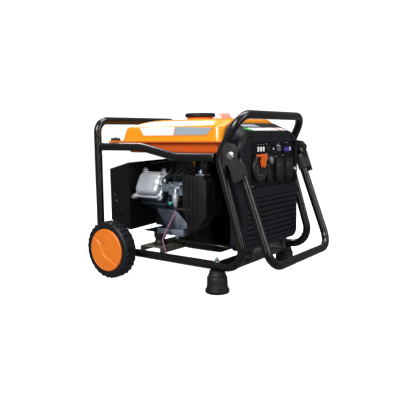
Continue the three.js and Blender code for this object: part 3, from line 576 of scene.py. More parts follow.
    def swept(self, route: Sequence[Vector], radius: float, sides: int = 24, loop: bool = False) -> "Shape":
        """Adds a round section carried along a route, with flat ends unless it is a loop.

        Args:
            route: points that its middle follows.
            radius: radius of the section.
            sides: faces round it.
            loop: True if the route meets itself.

        Returns:
            This shape.
        """
        part = bmesh.new()
        count = len(route)
        ways = []
        for i in range(count):
            ahead = route[(i + 1) % count] if loop or i + 1 < count else route[i]
            behind = route[i - 1] if loop or i else route[i]
            ways.append((ahead - behind).normalized())
        side = ways[0].orthogonal().normalized()
        rings = []
        for i, way in enumerate(ways):
            if i:
                side = ways[i - 1].rotation_difference(way) @ side
            side = (side - way * side.dot(way)).normalized()
            other = way.cross(side)
            rings.append([part.verts.new(route[i] + radius * (
                math.cos(2 * math.pi * k / sides) * side + math.sin(2 * math.pi * k / sides) * other))
                for k in range(sides)])
        for one, two in zip(rings, rings[1:] + rings[:1]) if loop else zip(rings, rings[1:]):
            for k in range(sides):
                n = (k + 1) % sides
                part.faces.new((one[k], one[n], two[n], two[k]))
        if not loop:
            part.faces.new(list(reversed(rings[0])))
            part.faces.new(rings[-1])
        return self.take(part)

    def lofted(self, levels: Sequence[tuple[float, Sequence]]) -> "Shape":
        """Adds a skin through outlines of equal length, each at its height, closed at both ends.

        Args:
            levels: pairs of height and outline, in order.

        Returns:
            This shape.
        """
        part = bmesh.new()
        rings = [[part.verts.new((u, v, z)) for u, v in outline] for z, outline in levels]
        for one, two in zip(rings, rings[1:]):
            for k in range(len(one)):
                n = (k + 1) % len(one)
                part.faces.new((one[k], one[n], two[n], two[k]))
        part.faces.new(list(reversed(rings[0])))
        part.faces.new(rings[-1])
        return self.take(part)

    def hexagon(self, start: Sequence, end: Sequence, across: float, washer: float = 0.0) -> "Shape":
        """Adds a hexagon head or nut from start to end, with a washer under it if one is asked for.

        Args:
            start: middle of its base.
            end: middle of its top.
            across: width across its flats.
            washer: radius of the washer, or 0 for none.

        Returns:
            This shape.
        """
        a, b = Vector(start), Vector(end)
        way = (b - a).normalized()
        if washer:
            self.rod(a, a + way * 1.6, washer, sides=28, bevel=0.3)
            a = a + way * 1.6
        return self.rod(a, b, across / math.sqrt(3), sides=6, bevel=0.8)

    def mesh(self) -> bpy.types.Mesh:
        """The finished mesh, in metres, in the frame."""
        bmesh.ops.transform(self.bm, matrix=Matrix.Translation((0, REAR_Y, 0)) @ Matrix.Scale(MM, 4),
                            verts=self.bm.verts)
        made = bpy.data.meshes.new("shape")
        self.bm.to_mesh(made)
        self.bm.free()
        return made


def dress(name: str, mesh: bpy.types.Mesh, finish: Finish, body: str = Body.FRAME,
          stands_for: Sequence[str] = (), sharp: float = 32.0) -> bpy.types.Object:
    """Makes a mesh a piece of the object.

    Args:
        name: the piece's name.
        mesh: its mesh, already in place.
        finish: its surface.
        body: the body it moves with.
        stands_for: frame nodes that it takes the place of.
        sharp: edges that turn by more degrees than this stay crisp.

    Returns:
        The piece.
    """
    mesh.name = name
    piece = bpy.data.objects.new(name, mesh)
    bpy.context.scene.collection.objects.link(piece)
    mesh.materials.clear()
    mesh.materials.append(finish.material())
    mesh.shade_smooth()
    mesh.set_sharp_from_angle(angle=math.radians(sharp))
    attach(piece, body.value if isinstance(body, Body) else body)
    if stands_for:
        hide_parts(*stands_for)
    log.info("%s: %d faces, moves with %s", name, len(mesh.polygons), body)
    return piece


def refined(node: str, finish: Finish, body: str = Body.FRAME, bevel: float = 0.5,
            sharp: float = 32.0) -> bpy.types.Object:
    """Takes over a frame node's shape with its corners rounded, and stands for it.

    Args:
        node: the frame node.
        finish: its surface.
        body: the body it moves with.
        bevel: width of the rounding in millimetres.
        sharp: edges that turn by more degrees than this stay crisp.

    Returns:
        The piece.
    """
    bm = bmesh.new()
    bm.from_mesh(frame["nodes"][node].data)
    bmesh.ops.remove_doubles(bm, verts=bm.verts, dist=1e-5)
    bmesh.ops.dissolve_limit(bm, angle_limit=math.radians(1.5), verts=bm.verts, edges=bm.edges)
    edges = [e for e in bm.edges if len(e.link_faces) == 2 and math.degrees(e.calc_face_angle(0)) > 40]
    if bevel:
        bmesh.ops.bevel(bm, geom=edges, offset=bevel * MM, segments=2, profile=0.5, affect="EDGES",
                        clamp_overlap=True)
    mesh = bpy.data.meshes.new(node)
    bm.to_mesh(mesh)
    bm.free()
    return dress(node + "_finished", mesh, finish, body, [node], sharp)


def repeat_tree(part: bpy.types.Object, material: bpy.types.Material) -> bpy.types.NodeTree:
    """Geometry nodes that repeat one part by turning and moving each copy a step further.

    Args:
        part: the part that is repeated.
        material: the finish of every copy.

    Returns:
        The node group, with Count, Turn, Pivot and Move as its inputs.
    """
    tree = bpy.data.node_groups.new("repeat_part", "GeometryNodeTree")
    for name, kind in (("Count", "NodeSocketInt"), ("Turn", "NodeSocketVector"),
                       ("Pivot", "NodeSocketVector"), ("Move", "NodeSocketVector")):
        tree.interface.new_socket(name, in_out="INPUT", socket_type=kind)
    tree.interface.new_socket("Geometry", in_out="OUTPUT", socket_type="NodeSocketGeometry")
    given = add_node(tree, "NodeGroupInput").outputs
    source = add_node(tree, "GeometryNodeObjectInfo", {"Object": part}, transform_space="ORIGINAL")
    line = add_node(tree, "GeometryNodeMeshLine", {"Count": given["Count"], "Offset": (0, 0, 0)})
    copies = add_node(tree, "GeometryNodeInstanceOnPoints", {
        "Points": line.outputs["Mesh"], "Instance": source.outputs["Geometry"]})
    number = add_node(tree, "GeometryNodeInputIndex").outputs["Index"]
    turns = add_node(tree, "ShaderNodeVectorMath", {0: given["Turn"], "Scale": number}, operation="SCALE")
    moves = add_node(tree, "ShaderNodeVectorMath", {0: given["Move"], "Scale": number}, operation="SCALE")
    turned = add_node(tree, "GeometryNodeRotateInstances", {
        "Instances": copies.outputs["Instances"], "Rotation": turns.outputs["Vector"],
        "Pivot Point": given["Pivot"], "Local Space": False})
    moved = add_node(tree, "GeometryNodeTranslateInstances", {
        "Instances": turned.outputs["Instances"], "Translation": moves.outputs["Vector"],
        "Local Space": False})
    real = add_node(tree, "GeometryNodeRealizeInstances", {"Geometry": moved.outputs["Instances"]})
    done = add_node(tree, "GeometryNodeSetMaterial", {
        "Geometry": real.outputs["Geometry"], "Material": material})
    add_node(tree, "NodeGroupOutput", {"Geometry": done.outputs["Geometry"]})
    return tree


def repeated(shape: Shape, finish: Finish, count: int, turn: Sequence = (0, 0, 0),
             pivot: Sequence = (0, 0, 0), move: Sequence = (0, 0, 0)) -> bpy.types.Mesh:
    """Repeats a shape with geometry nodes.

    Args:
        shape: the first copy, in its place.
        finish: the finish of every copy.
        count: how many copies there are.
        turn: turn from one copy to the next, in degrees about X, Y and Z.
        pivot: the point they turn about, in millimetres.
        move: step from one copy to the next, in millimetres.

    Returns:
        One plain mesh of all the copies.
    """
    part = bpy.data.objects.new("part", shape.mesh())
    holder = bpy.data.objects.new("copies", bpy.data.meshes.new("copies"))
    for made in (part, holder):
        bpy.context.scene.collection.objects.link(made)
    tree = repeat_tree(part, finish.material())
    grown = holder.modifiers.new("copies", "NODES")
    grown.node_group = tree
    values = {"Count": count, "Turn": [math.radians(t) for t in turn], "Pivot": spot(*pivot),
              "Move": Vector(move) * MM}
    for item in tree.interface.items_tree:
        if item.in_out == "INPUT" and item.name in values:
            grown[item.identifier] = values[item.name]
    holder.update_tag()
    ready = holder.evaluated_get(bpy.context.evaluated_depsgraph_get())
    mesh = bpy.data.meshes.new_from_object(ready)
    for made in (holder, part):
        data = made.data
        bpy.data.objects.remove(made)
        bpy.data.meshes.remove(data)
    bpy.data.node_groups.remove(tree)
    return mesh


def cut_out(base: bpy.types.Mesh, tools: Sequence[bpy.types.Mesh]) -> bpy.types.Mesh:
    """Cuts tool meshes out of a base mesh and returns what is left.

    Args:
        base: the mesh that is cut.
        tools: closed meshes of what is taken away.

    Returns:
        A new mesh of what is left.
    """
    scene = bpy.context.scene.collection.objects
    body = bpy.data.objects.new("base", base)
    scene.link(body)
    cutters = []
    for tool in tools:
        cutter = bpy.data.objects.new("cutter", tool)
        scene.link(cutter)
        cutters.append(cutter)
        step = body.modifiers.new("cut", "BOOLEAN")
        step.operation = "DIFFERENCE"
        step.solver = "EXACT"
        step.object = cutter
    left = bpy.data.meshes.new_from_object(body.evaluated_get(bpy.context.evaluated_depsgraph_get()))
    for made in (body, *cutters):
        bpy.data.objects.remove(made)
    return left


# ---------------------------------------------------------------- sub-assemblies

@dataclass
class TubeFrame:
    """The welded tube frame: front hoop, rear hoop, side rails and cross members."""

    half_width: float = 227
    length: float = 646
    tube: float = 14
    rail_z: float = 86.6
    knee_z: float = 433
    knee_back: float = 105
    top_z: float = 562.7
    top_back: float = 36
    top_half: float = 211
    rear_top_z: float = 558
    side_z: tuple[float, float] = (463, 430.6)
    side_step: tuple[float, float] = (215, 368)

    def build(self) -> None:
        """Makes the whole frame."""
        self.hoops()
        self.side_rails()
        self.members()

    def hoops(self) -> None:
        """The two bent hoops, with plugs in the open rail ends."""
        w = self.half_width
        half = [(-w, self.tube, self.rail_z), (-w, -self.length, self.rail_z),
                (-w, self.knee_back - self.length, self.knee_z),
                (-self.top_half, self.top_back - self.length, self.top_z)]
        other = [(-x, y, z) for x, y, z in reversed(half)]
        front = Shape().swept(bent_route(half + other, [62, 70, 58, 58, 70, 62]), self.tube, 32)
        dress("front_hoop", front.mesh(), TUBE, stands_for=["front_hoop_tube"])
        foot = self.rail_z + self.tube + 0.3
        corners = [(-w, 0, foot), (-w, 0, self.rear_top_z), (w, 0, self.rear_top_z), (w, 0, foot)]
        rear = Shape().swept(bent_route(corners, [45, 45]), self.tube, 32)
        dress("rear_hoop", rear.mesh(), TUBE, stands_for=["rear_hoop_tube"])
        for side, sign in SIDES.items():
            weld = Shape()
            weld.turned([(self.tube + 2.2 * math.cos(a), 2.2 * math.sin(a)) for a in
                         (math.radians(45 * k) for k in range(8))],
                        centre=(sign * w, 0, foot + 1), segments=40, closed=True)
            dress(f"rear_post_weld_{side}", weld.mesh(), TUBE)
            plug = Shape().turned([(0, 15.4), (10, 15.4), (13, 14.6), (13.4, 14.1), (0, 14.1)],
                                  Along.Y, (sign * w, 0, self.rail_z), 32)
            dress(f"rail_plug_{side}", plug.mesh(), ABS)

    def side_rails(self) -> None:
        """The stepped rails that carry the tank, from the rear hoop to the front uprights."""
        for side, sign in SIDES.items():
            x = sign * self.half_width
            knee = self.knee_back - self.length
            corners = [(x, -self.tube - 0.2, self.side_z[0]), (x, -self.side_step[0], self.side_z[0]),
                       (x, -self.side_step[1], self.side_z[1]), (x, knee + 13, self.side_z[1])]
            rail = Shape().swept(bent_route(corners, [120, 120]), self.tube, 32)
            for y, z in ((-self.tube - 1, self.side_z[0]), (knee + 13.5, self.side_z[1])):
                rail.turned([(self.tube + 1.8 * math.cos(a), 1.8 * math.sin(a)) for a in
                             (math.radians(45 * k) for k in range(8))],
                            Along.Y, (x, y, z), 40, closed=True)
            dress(f"side_rail_dressed_{side}", rail.mesh(), TUBE,
                  stands_for=[f"side_rail_{side}"])

    def members(self) -> None:
        """Cross members and the tank straps."""
        refined("rear_cross_member", GALVANISED, bevel=1.2)
        refined("front_cross_member", TUBE, bevel=0.6)
        for node in ("tank_strap_rear", "tank_strap_front"):
            refined(node, TUBE, bevel=0.6)


@dataclass
class Wheel:
    """One 203 mm wheel: chevron tyre, rim and the moulded disc that covers it."""

    side: str
    radius: float = 101.5
    half: float = 25
    y: float = -110.6
    x: float = 283
    disc: float = 75.5
    lugs: int = 28
    groove_top: tuple = ((-1.0, 0.74), (-0.8, 0.66), (-0.41, 0.52), (-0.03, 0.34), (0.16, 0.16),
                         (0.23, -0.03), (0.31, -0.23), (0.46, -0.41), (0.84, -0.61), (1.0, -0.7))
    groove_low: tuple = ((-1.0, 0.64), (-0.875, 0.59), (-0.6, 0.45), (-0.45, 0.25), (-0.33, -0.02),
                         (-0.2, -0.27), (0.03, -0.42), (0.41, -0.57), (0.75, -0.71), (1.0, -0.8))

    @property
    def body(self) -> str:
        """The body that turns."""
        return f"wheel_{self.side}"

    def outward(self) -> Matrix:
        """Carries a wheel drawn about +Z, outer face up, to its place."""
        sign = SIDES[self.side]
        turn = Matrix(((0, 0, sign), (1, 0, 0), (0, 1, 0))).to_4x4()
        return Matrix.Translation((sign * self.x, self.y, self.radius)) @ turn

    def build(self) -> None:
        """Makes the wheel and its axle."""
        self.tyre()
        self.cover()
        refined(f"wheel_rim_{self.side}", ABS, self.body, bevel=0.8)
        refined(f"axle_stub_{self.side}", STEEL, bevel=0.4)

    def tyre(self) -> None:
        """The carcass with its sidewall rings, and the chevron tread."""
        h, r = self.half, self.radius
        side = [(64, 20), (67, 22), (76.5, h - 2.6), (78, h - 0.8), (84, h), (91, h - 0.2), (92, h - 1.4),
                (93.4, h - 1.4), (94.4, h - 0.6), (96.6, h - 1.6), (98.2, h - 4.5), (98.6, h - 7)]
        ring = side + [(r2, -z) for r2, z in reversed(side)]
        tyre = Shape(self.outward()).turned(ring, segments=112, closed=True)
        dress(f"tyre_wall_{self.side}", tyre.mesh(), TYRE, self.body, [f"tyre_{self.side}"], 40)
        lug = Shape(self.outward())
        for sign in (-1, 1):
            outline = [(0.2, -4.2), (0.2, 3.4), (10, 7.4), (h - 3.4, 10.4), (h - 3.4, 2.6), (10, -0.4)]
            part = bmesh.new()
            rows = []
            for base in (97.2, r):
                rows.append([part.verts.new((base * math.cos(v / r), base * math.sin(v / r),
                                             sign * u * (1 if base < r else 0.96)))
                             for u, v in outline])
            part.faces.new(rows[0])
            part.faces.new(rows[1])
            for k in range(len(outline)):
                n = (k + 1) % len(outline)
                part.faces.new((rows[0][k], rows[0][n], rows[1][n], rows[1][k]))
            lug.take(part, 0.5, 1)
        tread = repeated(lug, TYRE, self.lugs, (360 / self.lugs, 0, 0),
                         (SIDES[self.side] * self.x, self.y, self.radius))
        dress(f"tread_{self.side}", tread, TYRE, self.body)

    def edge(self, line: Sequence, u: float) -> float:
        """Height of a groove edge at u, eased between its points."""
        for (u0, v0), (u1, v1) in zip(line, line[1:]):
            if u <= u1:
                return v0 + (v1 - v0) * (u - u0) / (u1 - u0)
        return line[-1][1]

    def dished(self, u: float, v: float) -> float:
        """Depth of the S-shaped recess at a place on the unit disc, from 0 to 1.

        Args:
            u: place across the disc.
            v: place up the disc.

        Returns:
            0 outside the recess, 1 at its full depth.
        """
        spread = (-0.05, 0.0, 0.05)
        top = sum(self.edge(self.groove_top, u + s) for s in spread) / len(spread)
        low = sum(self.edge(self.groove_low, u + s) for s in spread) / len(spread)
        width = 0.035
        depth = min(1.0, (top - v) / width, (v - low) / width)
        return max(0.0, depth)

    def cover(self) -> None:
        """The disc: a shallow dome inside a raised lip, crossed by an S-shaped recess."""
        rings, spokes = 64, 144
        face_z, lip, flat = self.half + 3.6, self.disc - 3.5, self.disc - 6
        part = bmesh.new()
        centre = part.verts.new((0, 0, face_z + 0.2))
        rows = []
        for i in range(1, rings + 1):
            share = i / rings
            row = []
            for k in range(spokes):
                a = 2 * math.pi * k / spokes
                r = share * flat
                along = SIDES[self.side] * -math.cos(a) * share
                dip = self.dished(-along, math.sin(a) * share) if self.side == "left" else self.dished(
                    along, math.sin(a) * share)
                z = face_z + 0.2 * (1 - share * share) - 3.4 * dip * min(1.0, (1 - share) * 18)
                row.append(part.verts.new((r * math.cos(a), r * math.sin(a), z)))
            rows.append(row)
        for r, z in ((flat + 0.8, face_z + 0.1), (flat + 1.4, face_z + 0.9), (lip, face_z + 0.9),
                     (lip + 2.2, face_z), (self.disc, face_z - 2.4), (self.disc, self.half - 1.6),
                     (64, self.half - 1.6), (0.01, self.half - 1.6)):
            rows.append([part.verts.new((r * math.cos(2 * math.pi * k / spokes),
                                         r * math.sin(2 * math.pi * k / spokes), z)) for k in range(spokes)])
        for k in range(spokes):
            n = (k + 1) % spokes
            part.faces.new((centre, rows[0][k], rows[0][n]))
            for one, two in zip(rows, rows[1:]):
                part.faces.new((one[k], two[k], two[n], one[n]))
        disc = Shape(self.outward()).take(part)
        dress(f"wheel_disc_{self.side}", disc.mesh(), ORANGE_PLASTIC, self.body,
              [f"hub_disc_{self.side}"], 50)


@dataclass
class Foot:
    """A rubber foot under a front rail, with its stud and nut."""

    side: str
    behind_corner: float = 115
    teeth: int = 26

    def build(self) -> None:
        """Makes the foot, its gripping rim and its fixing."""
        x, y = SIDES[self.side] * 227, self.behind_corner - 646
        foot = Shape().turned([
            (0, 0.2), (36, 0.2), (37.6, 1.5), (38, 5), (37.5, 12), (34.6, 15), (34, 18), (34.8, 20), (34, 22),
            (33.2, 34), (32.8, 50), (31.5, 52.5), (29, 54), (28.6, 57), (29, 59), (27, 62), (25.2, 71),
            (24, 72.2), (0, 72.2)], centre=(x, y, 0), segments=72)
        dress(f"foot_cone_{self.side}", foot.mesh(), RUBBER, stands_for=[f"foot_{self.side}"])
        tooth = Shape().box((x + 36, x + 38.9), (y - 2.6, y + 2.6), (1.2, 12.6), 0.6)
        rim = repeated(tooth, RUBBER, self.teeth, (0, 0, 360 / self.teeth), (x, y, 0))
        dress(f"foot_grip_{self.side}", rim, RUBBER)
        nut = Shape().hexagon((x, y, 100), (x, y, 108), 13, 10).rod((x, y, 104), (x, y, 113), 4)
        dress(f"foot_nut_{self.side}", nut.mesh(), ZINC)


@dataclass
class Handle:
    """The U-shaped handle that folds out from the front uprights."""

    pivot_y: float = -593.3
    pivot_z: float = 439
    leg: float = 208.5
    reach: float = 363
    lean: float = 20.4
    tube: float = 13.5

    def build(self) -> None:
        """Makes the bar, its brackets, the fixed plates and the bolts."""
        place = Matrix.Translation((0, self.pivot_y, self.pivot_z)) @ Matrix.Rotation(
            math.radians(-self.lean), 4, "X")
        corners = [(-self.leg, 0, -16), (-self.leg, 0, -self.reach), (self.leg, 0, -self.reach),
                   (self.leg, 0, -16)]
        bar = Shape(place).swept(bent_route(corners, [57, 57]), self.tube, 32)
        dress("handle_grip_bar", bar.mesh(), TUBE, Body.HANDLE, ["handle_bar"])
        for side, sign in SIDES.items():
            refined(f"handle_bracket_{side}", SHEET, Body.HANDLE, bevel=0.5)
            refined(f"pivot_plate_{side}", SHEET, bevel=0.5)
            weld = Shape(place).turned([(self.tube + 1.2 + 1.5 * math.cos(a), 1.5 * math.sin(a)) for a in
                                        (math.radians(45 * k) for k in range(8))],
                                       centre=(sign * self.leg, 0, -68.6), segments=36, closed=True)
            dress(f"bracket_weld_{side}", weld.mesh(), SHEET, Body.HANDLE)
            refined(f"pivot_bolt_{side}", CHROME, bevel=0.6)


@dataclass
class FuelTank:
    """The two pressed tank shells, their seam, cap, badges, grommets and tap."""

    half_width: float = 202
    front: float = -528.4
    seam: float = 480.2
    cap_y: float = -303
    top: float = 555
    wall_rear: float = -84
    levels: tuple = (
        (480.5, 7, 0, 2, 22), (484.5, 7.2, 0.6, 2, 24), (500, 10, 4, 2.3, 26), (518, 12.9, 8.6, 2.7, 28),
        (526, 14.2, 10.2, 2.9, 30), (529.5, 15.6, 12, 3.1, 32), (532.4, 18.4, 16.5, 3.4, 35),
        (535.2, 23, 25, 3.6, 38), (539, 29, 38, 3.8, 42), (544, 36, 53, 4.2, 46), (549, 45, 76, 5.2, 50),
        (552.2, 54, 96, 7, 52), (554.2, 64, 112, 11, 54), (555, 76, 124, 18, 50), (555.6, 100, 150, 46, 40))

    def build(self) -> None:
        """Makes the tank and what is on it."""
        self.shells()
        self.badges()
        self.filler()
        self.fixings()
        self.fuel_tap()

    def plan(self, inset: float, rear: float, ahead: float, corner: float) -> list[tuple[float, float]]:
        """Plan outline of the upper shell at one height."""
        a = self.half_width - inset
        return rounded(-a, a, self.front + ahead, self.wall_rear - rear, corner, steps=9)

    def shells(self) -> None:
        """Upper and lower pressings, each with its rolled seam."""
        upper = Shape().lofted([(z, self.plan(i, r, f, c)) for z, i, r, f, c in self.levels])
        flange = rounded(-self.half_width, self.half_width, self.front, -23, 12)
        upper.plate(flange, self.seam + 0.4, self.seam + 2.9, bevel=0.3)
        bead = [Vector((u, v, self.seam + 1.9)) for u, v in rounded(
            -self.half_width + 1, self.half_width - 1, self.front + 1, -24, 12)]
        upper.swept(bead, 1.7, 10, loop=True)
        upper.turned([(0, self.top - 4), (55, self.top - 3), (51.5, self.top + 0.6), (49, self.top + 2.4),
                      (46.5, self.top + 7), (45, self.top + 9.6), (0, self.top + 9.6)],
                     centre=(0, self.cap_y, 0))
        dress("tank_upper_pressing", upper.mesh(), ENAMEL, stands_for=["tank_upper_shell"],
              sharp=38)
        w, f, r = self.half_width, self.front, self.wall_rear
        low = [(441, 27, 27, 20, 20), (441.8, 24.6, 24.6, 17, 22), (444, 21.4, 21, 13.6, 23),
               (449, 19, 18.4, 11.4, 24), (477, 13, 12.4, 6.4, 26), (479.6, 12.2, 12, 6, 26)]
        lower = Shape().lofted([(z, rounded(-w + i, w - i, f + a, r - b, c, steps=9))
                                for z, i, b, a, c in low])
        lower.plate(flange, self.seam - 2.9, self.seam - 0.2, bevel=0.3)
        bead = [Vector((u, v, self.seam - 2.0)) for u, v in rounded(-w + 1, w - 1, f + 1, -24, 12)]
        lower.swept(bead, 1.5, 10, loop=True)
        # The lower pressing takes the redder copy of the enamel, which is painted shade under the flange.
        dress("tank_lower_pressing", lower.mesh(), ENAMEL_PAINTED_SHADE,
              stands_for=["tank_lower_shell"], sharp=38)

    def wall_x(self, z: float) -> float:
        """Half width of the side wall at a height."""
        return self.half_width - 7.2 - (z - 484.5) * 7 / 41.5

    def badges(self) -> None:
        """The two-tone badge on each side wall, framed by a pressed bead."""
        top, low, lean = 529.5, 501.5, 22
        parts = {
            "white": (WHITE_VINYL, [(-174, top), (-334, top), (-330, low), (-174 - lean, low)]),
            "grey": (GREY_VINYL, [(-337, top), (-491, top - 5), (-491 + lean, low), (-333, low)]),
        }
        for side, sign in SIDES.items():
            for tone, (finish, corners) in parts.items():
                badge = Shape()
                part = bmesh.new()
                for lift in (0.1, 0.75):
                    part.faces.new([part.verts.new((sign * (self.wall_x(z) + lift), y, z))
                                    for y, z in corners])
                part.verts.ensure_lookup_table()
                count = len(corners)
                for k in range(count):
                    n = (k + 1) % count
                    part.faces.new([part.verts[i] for i in (k, n, n + count, k + count)])
                badge.take(part, 0.25, 1)
                dress(f"tank_badge_{tone}_{side}", badge.mesh(), finish)
            trim = Shape().swept(bent_route([(sign * (self.wall_x(z) + 0.2), y, z) for y, z in (
                (-172, top + 0.8), (-174 - lean - 2, low - 1.6), (-491 + lean - 2, low - 1.6),
                (-494, top - 4.6))], [9, 9]), 1.1, 8)
            dress(f"tank_badge_bead_{side}", trim.mesh(), ENAMEL)

    def filler(self) -> None:
        """The ribbed cap on its red gasket, and the tag tied beside it."""
        gasket = Shape().turned([(46 + 3.2 * math.cos(a), self.top + 8.6 + 1.5 * math.sin(a)) for a in
                                 (math.radians(30 * k) for k in range(12))],
                                centre=(0, self.cap_y, 0), closed=True)
        dress("cap_gasket", gasket.mesh(), SEAL, Body.CAP)
        z = self.top + 10.4
        cap = Shape().turned([
            (0, z), (39, z), (52.5, z), (54, z + 1.2), (54.2, z + 11), (53, z + 13.2), (50, z + 14.4),
            (46, z + 14.8), (43.5, z + 13.2), (20, z + 13.2), (0, z + 13.6)], centre=(0, self.cap_y, 0))
        bar = rounded(-8, 8, -40, 40, 7)
        cap.plate([(u, v + self.cap_y) for u, v in bar], z + 12.5, z + 15.2, bevel=1.0)
        dress("cap_shell", cap.mesh(), ABS, Body.CAP, ["fuel_cap"])
        rib = Shape().box((53.4, 55.3), (self.cap_y - 1.5, self.cap_y + 1.5), (z + 1.4, z + 11.6), 0.5)
        ribs = repeated(rib, ABS, 44, (0, 0, 360 / 44), (0, self.cap_y, 0))
        dress("cap_ribs", ribs, ABS, Body.CAP)
        tag = Shape().plate([(-40, 552), (22, 555), (-8, 577), (-68, 573)], -432.4, -431.6, Along.Y, 0.2)
        tag.rod((-46, -432, 556), (-30, -380, 561), 0.9, bevel=0.2)
        dress("filler_tag", tag.mesh(), TAG)

    def fixings(self) -> None:
        """Rubber grommets and bolts that hold the flange to its rear strap."""
        for side, sign in SIDES.items():
            x, y, z = sign * 178, -42, self.seam + 3.2
            pad = Shape().turned([(0, 0), (18, 0), (19, 1), (19, 4.2), (17.6, 5), (17.6, 9), (16.6, 10.4),
                                  (0, 10.4)], centre=(x, y, z), segments=40)
            dress(f"tank_grommet_{side}", pad.mesh(), RUBBER)
            bolt = Shape().hexagon((x, y, z + 10.2), (x, y, z + 14.5), 9, 6.5)
            dress(f"tank_bolt_{side}", bolt.mesh(), ZINC)

    def fuel_tap(self) -> None:
        """Tap, its lever and the hose down to the carburettor."""
        refined("fuel_tap", BRASS, bevel=0.5)
        refined("fuel_tap_lever", ABS, Body.TAP_LEVER, bevel=0.6)
        hose = Shape().swept(smooth_route([
            (-150, -388, 396.1), (-150, -388, 388.7), (-152, -378, 377.7), (-156, -362, 369.7),
            (-160, -348, 360), (-160, -344, 342.9)]), 4, 20)
        for at, way in (((-150, -388, 391), (0, 0, 1)), ((-160, -344.6, 346), (0, 0, 1))):
            up = Vector(way) * 5
            hose.rod(at, Vector(at) + up, 5.2, sides=20, bevel=0.4)
        dress("fuel_hose_run", hose.mesh(), RUBBER, stands_for=["fuel_hose"])


